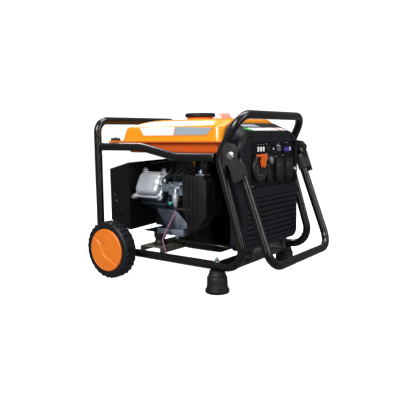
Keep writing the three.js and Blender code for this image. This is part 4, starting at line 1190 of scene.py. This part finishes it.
@dataclass
class Engine:
    """The tilted single-cylinder engine with its intake, brackets and silencer."""

    crank: tuple = (12, 236)
    tilt: float = 27
    y: float = -203
    end: float = 196
    bolts: tuple = ((46, 54), (-42, 54), (62, -50), (-62, -50))
    drain: tuple = ((-182, -330, 261.1), (-184, -331, 252), (-190, -333, 240), (-198, -322, 214),
                    (-203, -305, 180), (-204, -292, 158.5), (-204, -285.5, 139), (-204, -289, 122),
                    (-204, -296, 103), (-204, -299, 92))

    def cylinder_place(self) -> Matrix:
        """Carries a shape drawn out along +Z, with X towards -Y and Y up across, to the cylinder."""
        c, s = math.cos(math.radians(self.tilt)), math.sin(math.radians(self.tilt))
        turn = Matrix(((0, s, -c), (-1, 0, 0), (0, c, s))).to_4x4()
        return Matrix.Translation((self.crank[0], self.y, self.crank[1])) @ turn

    def build(self) -> None:
        """Makes the engine."""
        self.hose()
        self.head()
        self.intake()
        self.base()
        self.exhaust()
        self.alternator()

    def hose(self) -> None:
        """The drain hose, drawn as a fixed curve that runs down from the carburettor bowl."""
        route = [spot(*p) for p in smooth_route(self.drain, 4)]
        curve = bpy.data.curves.new("drain_hose_run", "CURVE")
        curve.dimensions = "3D"
        curve.bevel_depth = 2.5 * MM
        curve.bevel_resolution = 5
        curve.use_fill_caps = True
        line = curve.splines.new("POLY")
        line.points.add(len(route) - 1)
        for point, where in zip(line.points, route):
            point.co = (*where, 1)
        curve.materials.append(HOSE.material())
        piece = bpy.data.objects.new("drain_hose_run", curve)
        bpy.context.scene.collection.objects.link(piece)
        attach(piece, Body.FRAME.value)
        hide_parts("drain_hose")

    def head(self) -> None:
        """Crankcase, finned cylinder and the bright valve cover."""
        refined("crankcase", BLACK_CAST_AND_SHADE, bevel=1.5)
        refined("cylinder", ENGINE_CAST, bevel=0.4)
        place = self.cylinder_place()
        start = self.end + 0.3
        cover = Shape(place)
        cover.plate(rounded(-60, 60, -50, 50, 14), start, start + 5, bevel=1.0)
        levels = [(start + 4, 0), (start + 15, 1.4), (start + 20, 3.0), (start + 23.6, 6),
                  (start + 26.2, 10.4), (start + 27, 15)]
        cover.lofted([(z, rounded(-55 + g, 55 - g, -44 + g, 44 - g, 22 - g * 0.3, steps=9))
                      for z, g in levels])
        cover.turned([(0, start + 12), (14.5, start + 12), (14.5, start + 26), (12.6, start + 27.6),
                      (10, start + 26.6), (8.6, start + 22), (0, start + 22)], centre=(49, 4, 0), segments=36)
        for dy, s in self.bolts:
            cover.rod((-dy, s, start), (-dy, s, start + 11), 9, bevel=1.0)
            cover.rod((-dy * 0.86, s * 0.86, start), (-dy, s, start), 8, bevel=0.5)
            cover.box((-dy - 8, -dy + 8), (min(s, s * 0.8), max(s, s * 0.8)), (start, start + 8), 1.5)
        cover.rod((46, 28, start + 16), (66, 28, start + 16), 4.6, bevel=0.5)
        dress("valve_cover_cast", cover.mesh(), COVER_CAST, stands_for=["valve_cover"], sharp=42)
        heads = Shape(place)
        for dy, s in self.bolts:
            heads.hexagon((-dy, s, start + 11), (-dy, s, start + 16.5), 9, 6.8)
        dress("valve_cover_bolts", heads.mesh(), STEEL)
        gasket = Shape(place).plate(rounded(-60.4, 60.4, -50.4, 50.4, 14.4), start - 1.2, start - 0.1,
                                    bevel=0.2)
        dress("valve_cover_gasket", gasket.mesh(), RUBBER)
        refined("spark_plug", RUBBER, bevel=0.8)

    def intake(self) -> None:
        """Carburettor with its solenoid, the air filter box and the breather hose."""
        refined("carburettor", ZINC, bevel=0.8)
        refined("air_filter_case", FILTER_BOX, bevel=2.0)
        ribs = Shape()
        for y in (-392, -410, -428):
            ribs.box((-200.5, -195), (y - 5, y + 5), (205 if y > -420 else 222, 362), 2.0, 3)
        dress("filter_ribs", ribs.mesh(), FILTER_BOX)
        band = Shape().box((-198.5, -195.5), (-401, -334), (249, 256), 0.8)
        band.rod((-200, -338, 252.5), (-196, -338, 252.5), 4.5, bevel=0.6)
        dress("filter_band", band.mesh(), SHEET)
        clips = Shape().box((-188, -150), (-452, -420), (366.5, 373), 1.2)
        clips.rod((-170, -430, 372), (-170, -430, 384), 9, bevel=1.2)
        clips.rod((-170, -430, 384), (-170, -430, 388), 3, bevel=0.5)
        dress("filter_top_clip", clips.mesh(), ZINC)
        solenoid = Shape().rod((-200, -343, 274), (-200, -343, 300), 10.5, bevel=1.5)
        solenoid.rod((-200, -343, 300), (-200, -343, 307), 7, bevel=1.0)
        solenoid.rod((-200, -343, 262), (-200, -343, 275), 6, 8.5, bevel=0.8)
        solenoid.rod((-200, -343, 307), (-192, -338, 322), 4.5, bevel=0.6)
        solenoid.rod((-200, -343, 284), (-180, -343, 284), 6, bevel=0.5)
        dress("fuel_solenoid", solenoid.mesh(), COVER_CAST)
        teal = Shape().rod((-205, -320, 271), (-200, -320, 271), 5, bevel=0.8)
        teal.rod((-200, -320, 271), (-190, -330, 275), 2.0, bevel=0.3)
        dress("sensor_plug", teal.mesh(), TEAL)
        nuts = Shape().hexagon((-197, -365, 335), (-204, -365, 335), 11, 8.5)
        nuts.hexagon((-190.5, -318, 330), (-197, -318, 330), 10, 8)
        nuts.rod((-192, -318, 330), (-192, -352, 322), 3.0, bevel=0.4)
        dress("carburettor_nuts", nuts.mesh(), ZINC)
        wires = Shape()
        for start, mid, end in (((-196, -318, 335), (-206, -352, 352), (-192, -382, 388)),
                                ((-190, -300, 352), (-202, -340, 372), (-186, -376, 398)),
                                ((-198, -343, 308), (-204, -366, 328), (-190, -392, 372)),
                                ((-186, -224, 404), (-190, -290, 412), (-178, -360, 418))):
            wires.swept(smooth_route([start, mid, end], 10), 1.6, 10)
        dress("engine_wires", wires.mesh(), RUBBER)
        hose = Shape().swept(smooth_route(self.breather_points()), 5, 24)
        dress("breather_hose_run", hose.mesh(), RUBBER, stands_for=["breather_hose"])

    def breather_points(self) -> list[tuple[float, float, float]]:
        """Route of the breather hose from the valve cover to the filter box."""
        c, s = math.cos(math.radians(self.tilt)), math.sin(math.radians(self.tilt))
        out = self.end + 16.3
        hx, hz = self.crank[0] - out * c + 28 * s, self.crank[1] + out * s + 28 * c
        return [(hx, self.y - 66, hz), (hx - 1, self.y - 76, hz), (hx - 7, self.y - 94, hz + 3),
                (hx - 8, self.y - 122, hz + 8), (hx - 6, self.y - 148, hz + 9), (hx - 5, -367.8, hz + 9)]

    def base(self) -> None:
        """Base bracket on two stepped rubber mounts: zinc-plated, with its deck under the engine darkened as
        painted shade.
        """
        # The deck under the engine is black as painted shade; the rest of the same bracket is zinc.
        deck = Shape().plate([(-188, -180), (188, -180), (188, -285), (-188, -285)], 161, 164.2, bevel=0.5)
        dress("bracket_deck", deck.mesh(), BLACK_CAST_AND_SHADE, stands_for=["engine_bracket"])
        plate = Shape().plate([(-188, -285.2), (-137, -285.2), (-137, -365), (-188, -365)], 161, 164.2,
                              bevel=0.5)
        plate.box((-191, -187.9), (-365, -249), (157, 178), 0.8)
        plate.plate([(-300, 236), (-307, 236), (-352, 196), (-352, 163), (-296, 163)], -152, -148.8,
                    Along.X, 0.6)
        plate.box((-153.4, -151.6), (-346, -302), (176, 179), 0.5)
        dress("bracket_plate", plate.mesh(), ZINC, stands_for=["engine_bracket"])
        web = Shape().plate([(-215, 240), (-300.4, 240), (-296.4, 163), (-262, 163)], -152, -148.8,
                            Along.X, 0.6)
        web.rod((-150, -252, 222), (-146, -252, 222), 13, bevel=1.0)
        web.rod((-153.4, -282, 228), (-150, -282, 228), 5, bevel=0.8)
        dress("bracket_web", web.mesh(), ENGINE_CAST)
        for side, sign in SIDES.items():
            x = sign * 166
            mount = Shape().turned([
                (0, 112.4), (23.6, 112.4), (24, 114), (23.6, 121), (20, 124), (17.4, 130), (17.8, 136),
                (21.4, 141), (22, 144), (22, 159.5), (21, 160.6), (0, 160.6)],
                centre=(x, -240, 0), segments=40)
            dress(f"rubber_mount_{side}", mount.mesh(), RUBBER,
                  stands_for=[f"engine_mount_{side}"])
        bolt = Shape().hexagon((-191.2, -308, 168), (-198, -308, 168), 12, 9)
        dress("bracket_bolt", bolt.mesh(), ENGINE_CAST)
        fold = Shape().box((-190.5, -150), (-366.5, -364.5), (157, 185), 0.5)
        fold.box((-203, -191), (-352, -342), (150, 163), 1.0)
        dress("bracket_fold", fold.mesh(), ZINC)
        rod = Shape().rod((-200, -349, 145.5), (-200, -514, 145.5), 3.4, bevel=0.6)
        rod.rod((-200, -512, 145.5), (-186, -548, 140), 3.4, bevel=0.6)
        dress("support_rod", rod.mesh(), TUBE)

    def exhaust(self) -> None:
        """Silencer and the slotted sheet round it."""
        refined("muffler", EXHAUST, bevel=1.5)
        refined("muffler_shield", SHIELD, bevel=0.0)
        rivet = Shape().rod((-200.8, -56, 286), (-203, -56, 286), 3.4, bevel=0.6)
        rivet.rod((-200.8, -62, 264), (-203, -62, 264), 3.4, bevel=0.6)
        dress("shield_screws", rivet.mesh(), CHROME)

    def alternator(self) -> None:
        """Fan housing, stator and rotor."""
        refined("fan_housing", SHIELD, bevel=0.8)
        refined("stator", COPPER, bevel=0.8)
        # The rotor is black as painted shade, darkening what shows of it through the fan housing's gap.
        refined("alternator_rotor", BLACK_CAST_AND_SHADE, Body.ROTOR, bevel=0.4)


@dataclass
class Controls:
    """The control housing, its fascia and everything a hand reaches on it."""

    half_width: float = 193
    face_y: float = -603
    back_y: float = -532
    low_back_y: float = -560
    bottom: float = 126
    top: float = 507
    rise: float = 32
    panel: tuple = (-141, 174, 325, 477)
    slats: int = 9
    pitch: float = 17.1
    covers: dict = field(default_factory=lambda: {
        "outlet_cover_left": (58, 56, 338.5, 414), "outlet_cover_right": (127, 56, 338.5, 414),
        "dc_cover": (-19, 24, 340, 390)})

    @property
    def panel_y(self) -> float:
        """Front face of the fascia."""
        return self.face_y + 6

    def build(self) -> None:
        """Makes the housing and its controls."""
        self.housing()
        self.louvres()
        self.labels()
        self.fascia()
        self.dial()
        for name, (x, width, low, high) in self.covers.items():
            self.flap(name, x, width, low, high)
        refined("inverter_module", BLACK_CAST_AND_SHADE, bevel=0.3)

    def slope(self, mesh: bpy.types.Mesh) -> bpy.types.Mesh:
        """Raises the hood towards the tank, more the higher and the further back a point is."""
        for v in mesh.vertices:
            depth = ((v.co.y - REAR_Y) / MM - self.face_y) / (self.back_y - self.face_y)
            height = min(1.0, max(0.0, (v.co.z / MM - 400) / (self.top - 400)))
            v.co.z += self.rise * depth * height * MM
        return mesh

    def skin(self, inset: float, start: float, end: float, rounding: float) -> bpy.types.Mesh:
        """The housing's outline carried back, with its front edge rounded.

        Args:
            inset: how far inside the outer skin it lies.
            start: its front.
            end: its back.
            rounding: radius of the front edge.

        Returns:
            The closed mesh.
        """
        w, low, high = self.half_width, self.bottom, self.top
        steps = 6
        levels = [(start + rounding * (1 - math.sin(math.radians(90 * k / steps))),
                   inset + rounding * (1 - math.cos(math.radians(90 * k / steps))))
                  for k in range(steps, -1, -1)] if rounding else [(start, inset)]
        count = 6
        levels += [(levels[-1][0] + (end - levels[-1][0]) * (k + 1) / count, inset) for k in range(count)]
        part = bmesh.new()
        rings = []
        for y, g in levels:
            outline = rounded(-w + g, w - g, low + g, high - g, max(4, 32 - g), max(4, 60 - g), 12)
            rings.append([part.verts.new((x, y, z)) for x, z in outline])
        for one, two in zip(rings, rings[1:]):
            for k in range(len(one)):
                n = (k + 1) % len(one)
                part.faces.new((one[k], one[n], two[n], two[k]))
        part.faces.new(rings[0])
        part.faces.new(list(reversed(rings[-1])))
        return Shape().take(part).mesh()

    def housing(self) -> None:
        """The hood: one moulding with the fascia's window, the louvre opening and screw wells."""
        left, right, low, high = self.panel
        window = Shape().plate(rounded(left, right, low, high, 10), self.face_y - 20, self.face_y + 30,
                               Along.Y, bevel=0)
        slot = Shape().plate(rounded(-158, 168, 141, 297, 9), self.face_y - 20, self.face_y + 30, Along.Y,
                             bevel=0)
        behind = Shape().box((-300, 300), (self.low_back_y, self.back_y + 60), (60, 430), 0)
        wells = [Shape().rod((s * 139, self.face_y - 5, 490), (s * 139, self.face_y + 20, 490), 6.5, bevel=0)
                 for s in SIDES.values()]
        outer = self.slope(self.skin(0, self.face_y, self.back_y, 11))
        inner = self.slope(self.skin(3, self.face_y + 3, self.back_y + 12, 9))
        hood = cut_out(outer, [inner, *(cut.mesh() for cut in (window, slot, behind, *wells))])
        dress("hood", hood, ABS, stands_for=["control_housing"], sharp=34)
        lip = Shape()
        for edge in (rounded(left, right, low, high, 10), rounded(-158, 168, 141, 297, 9)):
            lip.swept([Vector((u, self.face_y + 1.2, v)) for u, v in edge], 1.6, 8, loop=True)
        rim = rounded(left + 1.6, right - 1.6, low + 1.6, high - 1.6, 8.4)
        wall = rounded(left - 0.6, right + 0.6, low - 0.6, high + 0.6, 10.6)
        part = bmesh.new()
        rings = [[part.verts.new((u, y, v)) for u, v in line] for line, y in (
            (wall, self.face_y + 1), (rim, self.face_y + 1), (rim, self.panel_y - 0.4),
            (wall, self.panel_y - 0.4))]
        for one, two in zip(rings, rings[1:] + rings[:1]):
            for k in range(len(one)):
                n = (k + 1) % len(one)
                part.faces.new((one[k], one[n], two[n], two[k]))
        lip.take(part)
        dress("window_rim", lip.mesh(), ABS)
        screws = Shape()
        for s in SIDES.values():
            screws.rod((s * 139, self.face_y + 8, 490), (s * 139, self.face_y + 12, 490), 5.5, bevel=0.8)
            screws.rod((s * 139, self.face_y + 14, 490), (s * 139, self.face_y + 11, 490), 8.5, bevel=0.3)
        dress("hood_screws", screws.mesh(), SHEET)

    def louvres(self) -> None:
        """Sloping slats across the lower opening, on two uprights."""
        y = self.face_y
        part = bmesh.new()
        section = [(0.4, 0), (0.4, 9.8), (1.6, 11.2), (12, 16.6), (12, 13.8), (3.4, 8.6), (3.4, 0)]
        ends = [[part.verts.new((x, y + dy, 144 + dz)) for dy, dz in section] for x in (-159, 169)]
        part.faces.new(ends[0])
        part.faces.new(list(reversed(ends[1])))
        for k in range(len(section)):
            n = (k + 1) % len(section)
            part.faces.new((ends[0][k], ends[0][n], ends[1][n], ends[1][k]))
        slat = Shape().take(part, 0.5, 2)
        slats = repeated(slat, ABS, self.slats, move=(0, 0, self.pitch))
        dress("louvre_slats", slats, ABS)
        posts = Shape()
        for x in (-158.5, -4, 168):
            posts.box((x - 1.5, x + 1.5), (y + 4, y + 12.5), (142, 296), 0.4)
        dress("louvre_posts", posts.mesh(), ABS)

    def on_hood(self, x: float, back: float) -> tuple[float, float, float]:
        """A point just above the hood's top, a distance behind its front face."""
        depth = back / (self.back_y - self.face_y)
        lift = self.rise * depth
        return (x, self.face_y + back, self.top + lift + 0.25)

    def sticker(self, name: str, corners: Sequence[tuple[float, float]], finish: Finish) -> None:
        """A thin label on the hood's slope, from corners given as x and distance back.

        Args:
            name: the piece's name.
            corners: pairs of x and distance behind the front face.
            finish: its surface.
        """
        part = bmesh.new()
        base = [part.verts.new(self.on_hood(x, back)) for x, back in corners]
        top = [part.verts.new(Vector(self.on_hood(x, back)) + Vector((0, 0, 0.35))) for x, back in corners]
        part.faces.new(base)
        part.faces.new(top)
        for k in range(len(corners)):
            n = (k + 1) % len(corners)
            part.faces.new((base[k], base[n], top[n], top[k]))
        dress(name, Shape().take(part).mesh(), finish)

    def labels(self) -> None:
        """Plain coloured bands on the hood's slope, without lettering."""
        self.sticker("hood_band_green", [(-122, 13), (-94, 13), (-108, 33), (-136, 33)], GREEN_VINYL)
        self.sticker("hood_band_white", [(-93, 13), (74, 13), (60, 33), (-107, 33)], WHITE_VINYL)
        self.sticker("hood_band_orange", [(75, 13), (90, 13), (76, 33), (61, 33)], ORANGE_VINYL)
        self.sticker("hood_band_end", [(91, 13), (130, 13), (118, 33), (77, 33)], WHITE_VINYL)
        self.sticker("hood_plate", [(-110, 42), (-10, 42), (-24, 60), (-124, 60)], GREY_VINYL)

    def fascia(self) -> None:
        """The fascia with its lamps, buttons, switch, screen and earth terminal."""
        refined("control_panel", PANEL, bevel=0.4)
        y = self.panel_y
        lamps, marks = Shape(), Shape()
        for x in (-83, -66, -49):
            lamps.box((x - 4.6, x + 4.6), (y - 2.2, y), (445, 460), 1.6, 3)
            marks.box((x - 2.4, x + 2.4), (y - 0.4, y), (467, 469.4), 0.1)
        lamps.rod((18, y - 1.6, 451), (18, y, 451), 3.0, bevel=0.6)
        dress("fascia_lamps", lamps.mesh(), LENS)
        for x, z, w in ((-30, 469, 16), (55, 470, 9), (112, 471, 20), (-30, 436, 22), (36, 424, 16),
                        (86, 427, 16), (-20, 400, 12), (-122, 334, 24), (152, 398, 6)):
            marks.box((x - w / 2, x + w / 2), (y - 0.4, y), (z - 1.1, z + 1.1), 0.1)
        dress("fascia_marks", marks.mesh(), GREY_VINYL)
        start_at = (-4, 0, 414)
        start = Shape().turned([(0, y + 7), (18.6, y + 7), (18.6, y - 4), (17, y - 6.4), (13, y - 6.4),
                                (12, y - 4.4), (0, y - 4.4)], Along.Y, start_at)
        dress("start_push", start.mesh(), DIAL, Body.START, ["start_button"], 40)
        crown = Shape().turned([(0, y - 4), (11.4, y - 4), (11.4, y - 7.4), (10, y - 8.8), (0, y - 8)],
                               Along.Y, start_at)
        dress("start_crown", crown.mesh(), CHROME, Body.START)
        reset = Shape().turned([(0, y + 7), (8.8, y + 7), (8.8, y - 4), (7.6, y - 6), (0, y - 5.4)],
                               Along.Y, (-23, 0, 454))
        dress("reset_push", reset.mesh(), DIAL, Body.RESET, ["reset_button"], 40)
        rocker = Shape().box((42.2, 67.8), (y - 3.4, y + 6), (442.2, 461.8), 1.4, 3)
        rocker.box((52, 58), (y - 3.9, y - 3), (455, 457), 0.2)
        dress("rocker_key", rocker.mesh(), GREY_PLASTIC, Body.ROCKER, ["rocker_switch"])
        bezel = Shape().plate(rounded(84.2, 141.8, 430.2, 464.8, 4), y - 3.8, y - 0.3, Along.Y, 0.8)
        dress("screen_bezel", bezel.mesh(), PANEL, stands_for=["display_module"])
        screen = Shape().plate(rounded(89, 128, 441, 455, 1.5), y - 4.3, y - 3.7, Along.Y, 0.15)
        dress("screen_glass", screen.mesh(), SCREEN)
        lamp = Shape().plate(rounded(129.5, 136, 443, 455, 1.5), y - 4.5, y - 3.7, Along.Y, 0.3)
        dress("screen_lamp", lamp.mesh(), LENS)
        refined("ground_terminal", CHROME, bevel=0.4)
        knob = Shape().rod((166, y - 13.8, 375), (166, y - 5, 375), 7.4, bevel=1.4)
        dress("ground_knob", knob.mesh(), CHROME)

    def dial(self) -> None:
        """The big run selector with printed strokes, and its lever."""
        x, z, r, y = -81, 390, 44, self.panel_y - 0.3
        face = Shape().turned([(0, y), (r - 0.4, y), (r, y - 1.5), (r, y - 6.5), (r - 2.4, y - 9.6),
                               (r - 5, y - 11), (r - 9, y - 11), (r - 10.5, y - 9.6), (0, y - 9.4)],
                              Along.Y, (x, 0, z), 96)
        dress("dial_face", face.mesh(), DIAL, Body.DIAL, ["engine_dial"], 40)
        marks = Shape()
        for angle, size in ((168, 7), (196, 9), (222, 7), (248, 10), (290, 7)):
            a = math.radians(angle)
            centre = Vector((x + 24 * math.cos(a), y - 9.7, z + 24 * math.sin(a)))
            turn = Matrix.Translation(centre) @ Matrix.Rotation(-a, 4, "Y")
            marks.box((-0.6, 0.6), (-0.25, 0.25), (-size / 2, size / 2), 0.1, turn=turn)
        dress("dial_marks", marks.mesh(), GREY_VINYL, Body.DIAL)
        outline = [(-36, 46), (-36.6, 42.6), (-33, 40.4), (-18, 38.6), (-13, 36), (-11, 30), (-7.6, 15)]
        outline += [(5 + 11.5 * math.cos(math.radians(a)), 14.5 + 11.5 * math.sin(math.radians(a)))
                    for a in range(180, 361, 15)]
        outline += [(20, 26), (24, 36), (24.4, 41), (22, 45.4), (17, 47)]
        lever = Shape().plate([(x + u, z + v) for u, v in outline], self.panel_y - 20.4,
                              self.panel_y - 11.8, Along.Y, 2.2, 3)
        dress("dial_grip", lever.mesh(), LEVER, Body.DIAL, ["dial_lever"])

    def flap(self, name: str, x: float, width: float, low: float, high: float) -> None:
        """A domed spring flap on its pin.

        Args:
            name: the frame node and body it belongs to.
            x: its middle.
            width: its width.
            low: its lower edge.
            high: the height of its pin.
        """
        half, knuckle = width / 2, 2.7
        y = self.panel_y - knuckle - 0.3
        leaf = Shape().plate(rounded(x - half, x + half, low, high, min(half - 1, 18), 1.5), y - knuckle,
                             y + knuckle, Along.Y, 1.0)
        bottom, top, edge = low + 5, high - 12, min(half - 5, 16)
        levels = [(0, 0), (3.4, 0.8), (5.0, 2.2), (6.0, 4.6)]
        part = bmesh.new()
        rings = []
        for out, g in levels:
            line = rounded(x - half + 4 + g, x + half - 4 - g, bottom + g, top - g, edge - g * 0.6)
            rings.append([part.verts.new((u, y - knuckle + 0.4 - out, v)) for u, v in line])
        for one, two in zip(rings, rings[1:]):
            for k in range(len(one)):
                n = (k + 1) % len(one)
                part.faces.new((one[k], one[n], two[n], two[k]))
        part.faces.new(rings[0])
        part.faces.new(rings[-1])
        leaf.take(part)
        leaf.rod((x - half, y, high), (x + half, y, high), knuckle, bevel=0.4)
        leaf.rod((x - half - 1.8, y, high), (x + half + 1.8, y, high), 1.4, sides=12, bevel=0.2)
        leaf.box((x - half * 0.3, x + half * 0.3), (y - knuckle - 6.2, y - knuckle - 5.2),
                 (bottom + 12, bottom + 14), 0.3)
        dress(name + "_flap", leaf.mesh(), RUBBER, name, [name], 40)


@dataclass
class Studio:
    """Camera, floor and soft lights."""

    camera_at: tuple = (-1.59839, -1.13284, 0.50591)
    azimuth: float = -53.199
    elevation: float = 7.052
    roll: float = -0.768
    lens: float = 48.303
    sensor: float = 36.0
    far: float = 60.0
    aim_height: float = 0.3
    floor_radius: float = 14.0
    floor_drop: float = 0.001
    floor_glow: float = 0.97
    dome_radius: float = 13.0
    dome_glow: float = 1.2
    surround: float = 0.16

    def camera(self) -> None:
        """Sets the camera that shows the control side from the left."""
        az, el, roll = (math.radians(a) for a in (self.azimuth, self.elevation, self.roll))
        back = Vector((math.sin(az) * math.cos(el), -math.cos(az) * math.cos(el), math.sin(el)))
        right = Vector((0, 0, 1)).cross(back).normalized()
        up = back.cross(right)
        turned_right = math.cos(roll) * right + math.sin(roll) * up
        turned_up = -math.sin(roll) * right + math.cos(roll) * up
        data = bpy.data.cameras.new("camera")
        data.lens = self.lens
        data.sensor_width = self.sensor
        data.clip_end = self.far
        view = bpy.data.objects.new("camera", data)
        turn = Matrix((turned_right, turned_up, back)).transposed().to_4x4()
        view.matrix_world = Matrix.Translation(self.camera_at) @ turn
        bpy.context.scene.collection.objects.link(view)
        bpy.context.scene.camera = view

    def stage_piece(self, name: str, bm: bmesh.types.BMesh, glow: float) -> bpy.types.Object:
        """A white surface of the studio that shows but sheds no light on the object.

        Args:
            name: its name.
            bm: its mesh, which is used up.
            glow: how much of its whiteness is its own light.

        Returns:
            The stage object.
        """
        mesh = bpy.data.meshes.new(name)
        bm.to_mesh(mesh)
        bm.free()
        white = Finish("matt white " + name, "#f6f6f6", roughness=0.9, grain_mm=30, grain_depth=0.01,
                       mottle=0.0, glow=glow)
        mesh.materials.append(white.material())
        made = bpy.data.objects.new(name, mesh)
        bpy.context.scene.collection.objects.link(made)
        made.visible_diffuse = False
        return made

    def floor(self) -> None:
        """A wide pale floor under a white dome."""
        bm = bmesh.new()
        bmesh.ops.create_circle(bm, cap_ends=True, segments=96, radius=self.floor_radius)
        floor = self.stage_piece("floor", bm, self.floor_glow)
        floor.location.z = -self.floor_drop
        floor.visible_glossy = False
        bm = bmesh.new()
        bmesh.ops.create_uvsphere(bm, u_segments=48, v_segments=24, radius=self.dome_radius)
        dome = self.stage_piece("dome", bm, self.dome_glow)
        dome.visible_glossy = False
        dome.visible_shadow = False
        dome.visible_transmission = False

    def light(self, name: str, where: Sequence, size: tuple[float, float], power: float) -> None:
        """One soft rectangular light aimed at the middle of the object.

        Args:
            name: its name.
            where: its place, in metres.
            size: its width and height, in metres.
            power: its power, in watts.
        """
        data = bpy.data.lights.new(name, "AREA")
        data.shape = "RECTANGLE"
        data.size, data.size_y = size
        data.energy = power
        lamp = bpy.data.objects.new(name, data)
        aim = Vector((0, 0, self.aim_height)) - Vector(where)
        lamp.matrix_world = Matrix.Translation(where) @ aim.to_track_quat("-Z", "Y").to_matrix().to_4x4()
        bpy.context.scene.collection.objects.link(lamp)

    def build(self) -> None:
        """Sets floor, lights and surroundings."""
        self.floor()
        world = bpy.data.worlds.new("studio")
        bpy.context.scene.world = world
        world.use_nodes = True
        world.node_tree.nodes.clear()
        glow = add_node(world.node_tree, "ShaderNodeBackground",
                        {"Color": hexa("#ffffff"), "Strength": self.surround})
        add_node(world.node_tree, "ShaderNodeOutputWorld", {"Surface": glow.outputs["Background"]})
        self.light("key_left", (-2.6, -0.3, 2.1), (1.2, 1.4), 95)
        self.light("top", (0.3, -0.5, 2.7), (1.2, 2.0), 55)
        self.light("front", (0.5, -2.9, 1.5), (0.7, 1.6), 22)
        self.light("strip_left", (-2.7, -1.4, 1.1), (0.2, 1.8), 12)
        self.light("rear", (0.9, 2.0, 2.6), (1.0, 1.0), 30)
        self.light("strip_front", (-0.5, -3.0, 0.9), (0.14, 1.8), 11)
        bpy.context.scene.view_settings.view_transform = "Standard"


def main() -> None:
    """Builds the studio and every sub-assembly in order."""
    logging.basicConfig(level=logging.INFO, format="%(name)s %(message)s")
    studio = Studio()
    studio.camera()
    Engine().build()
    TubeFrame().build()
    for side in SIDES:
        Wheel(side).build()
        Foot(side).build()
    Handle().build()
    FuelTank().build()
    Controls().build()
    studio.build()


if __name__ == "__main__":
    main()
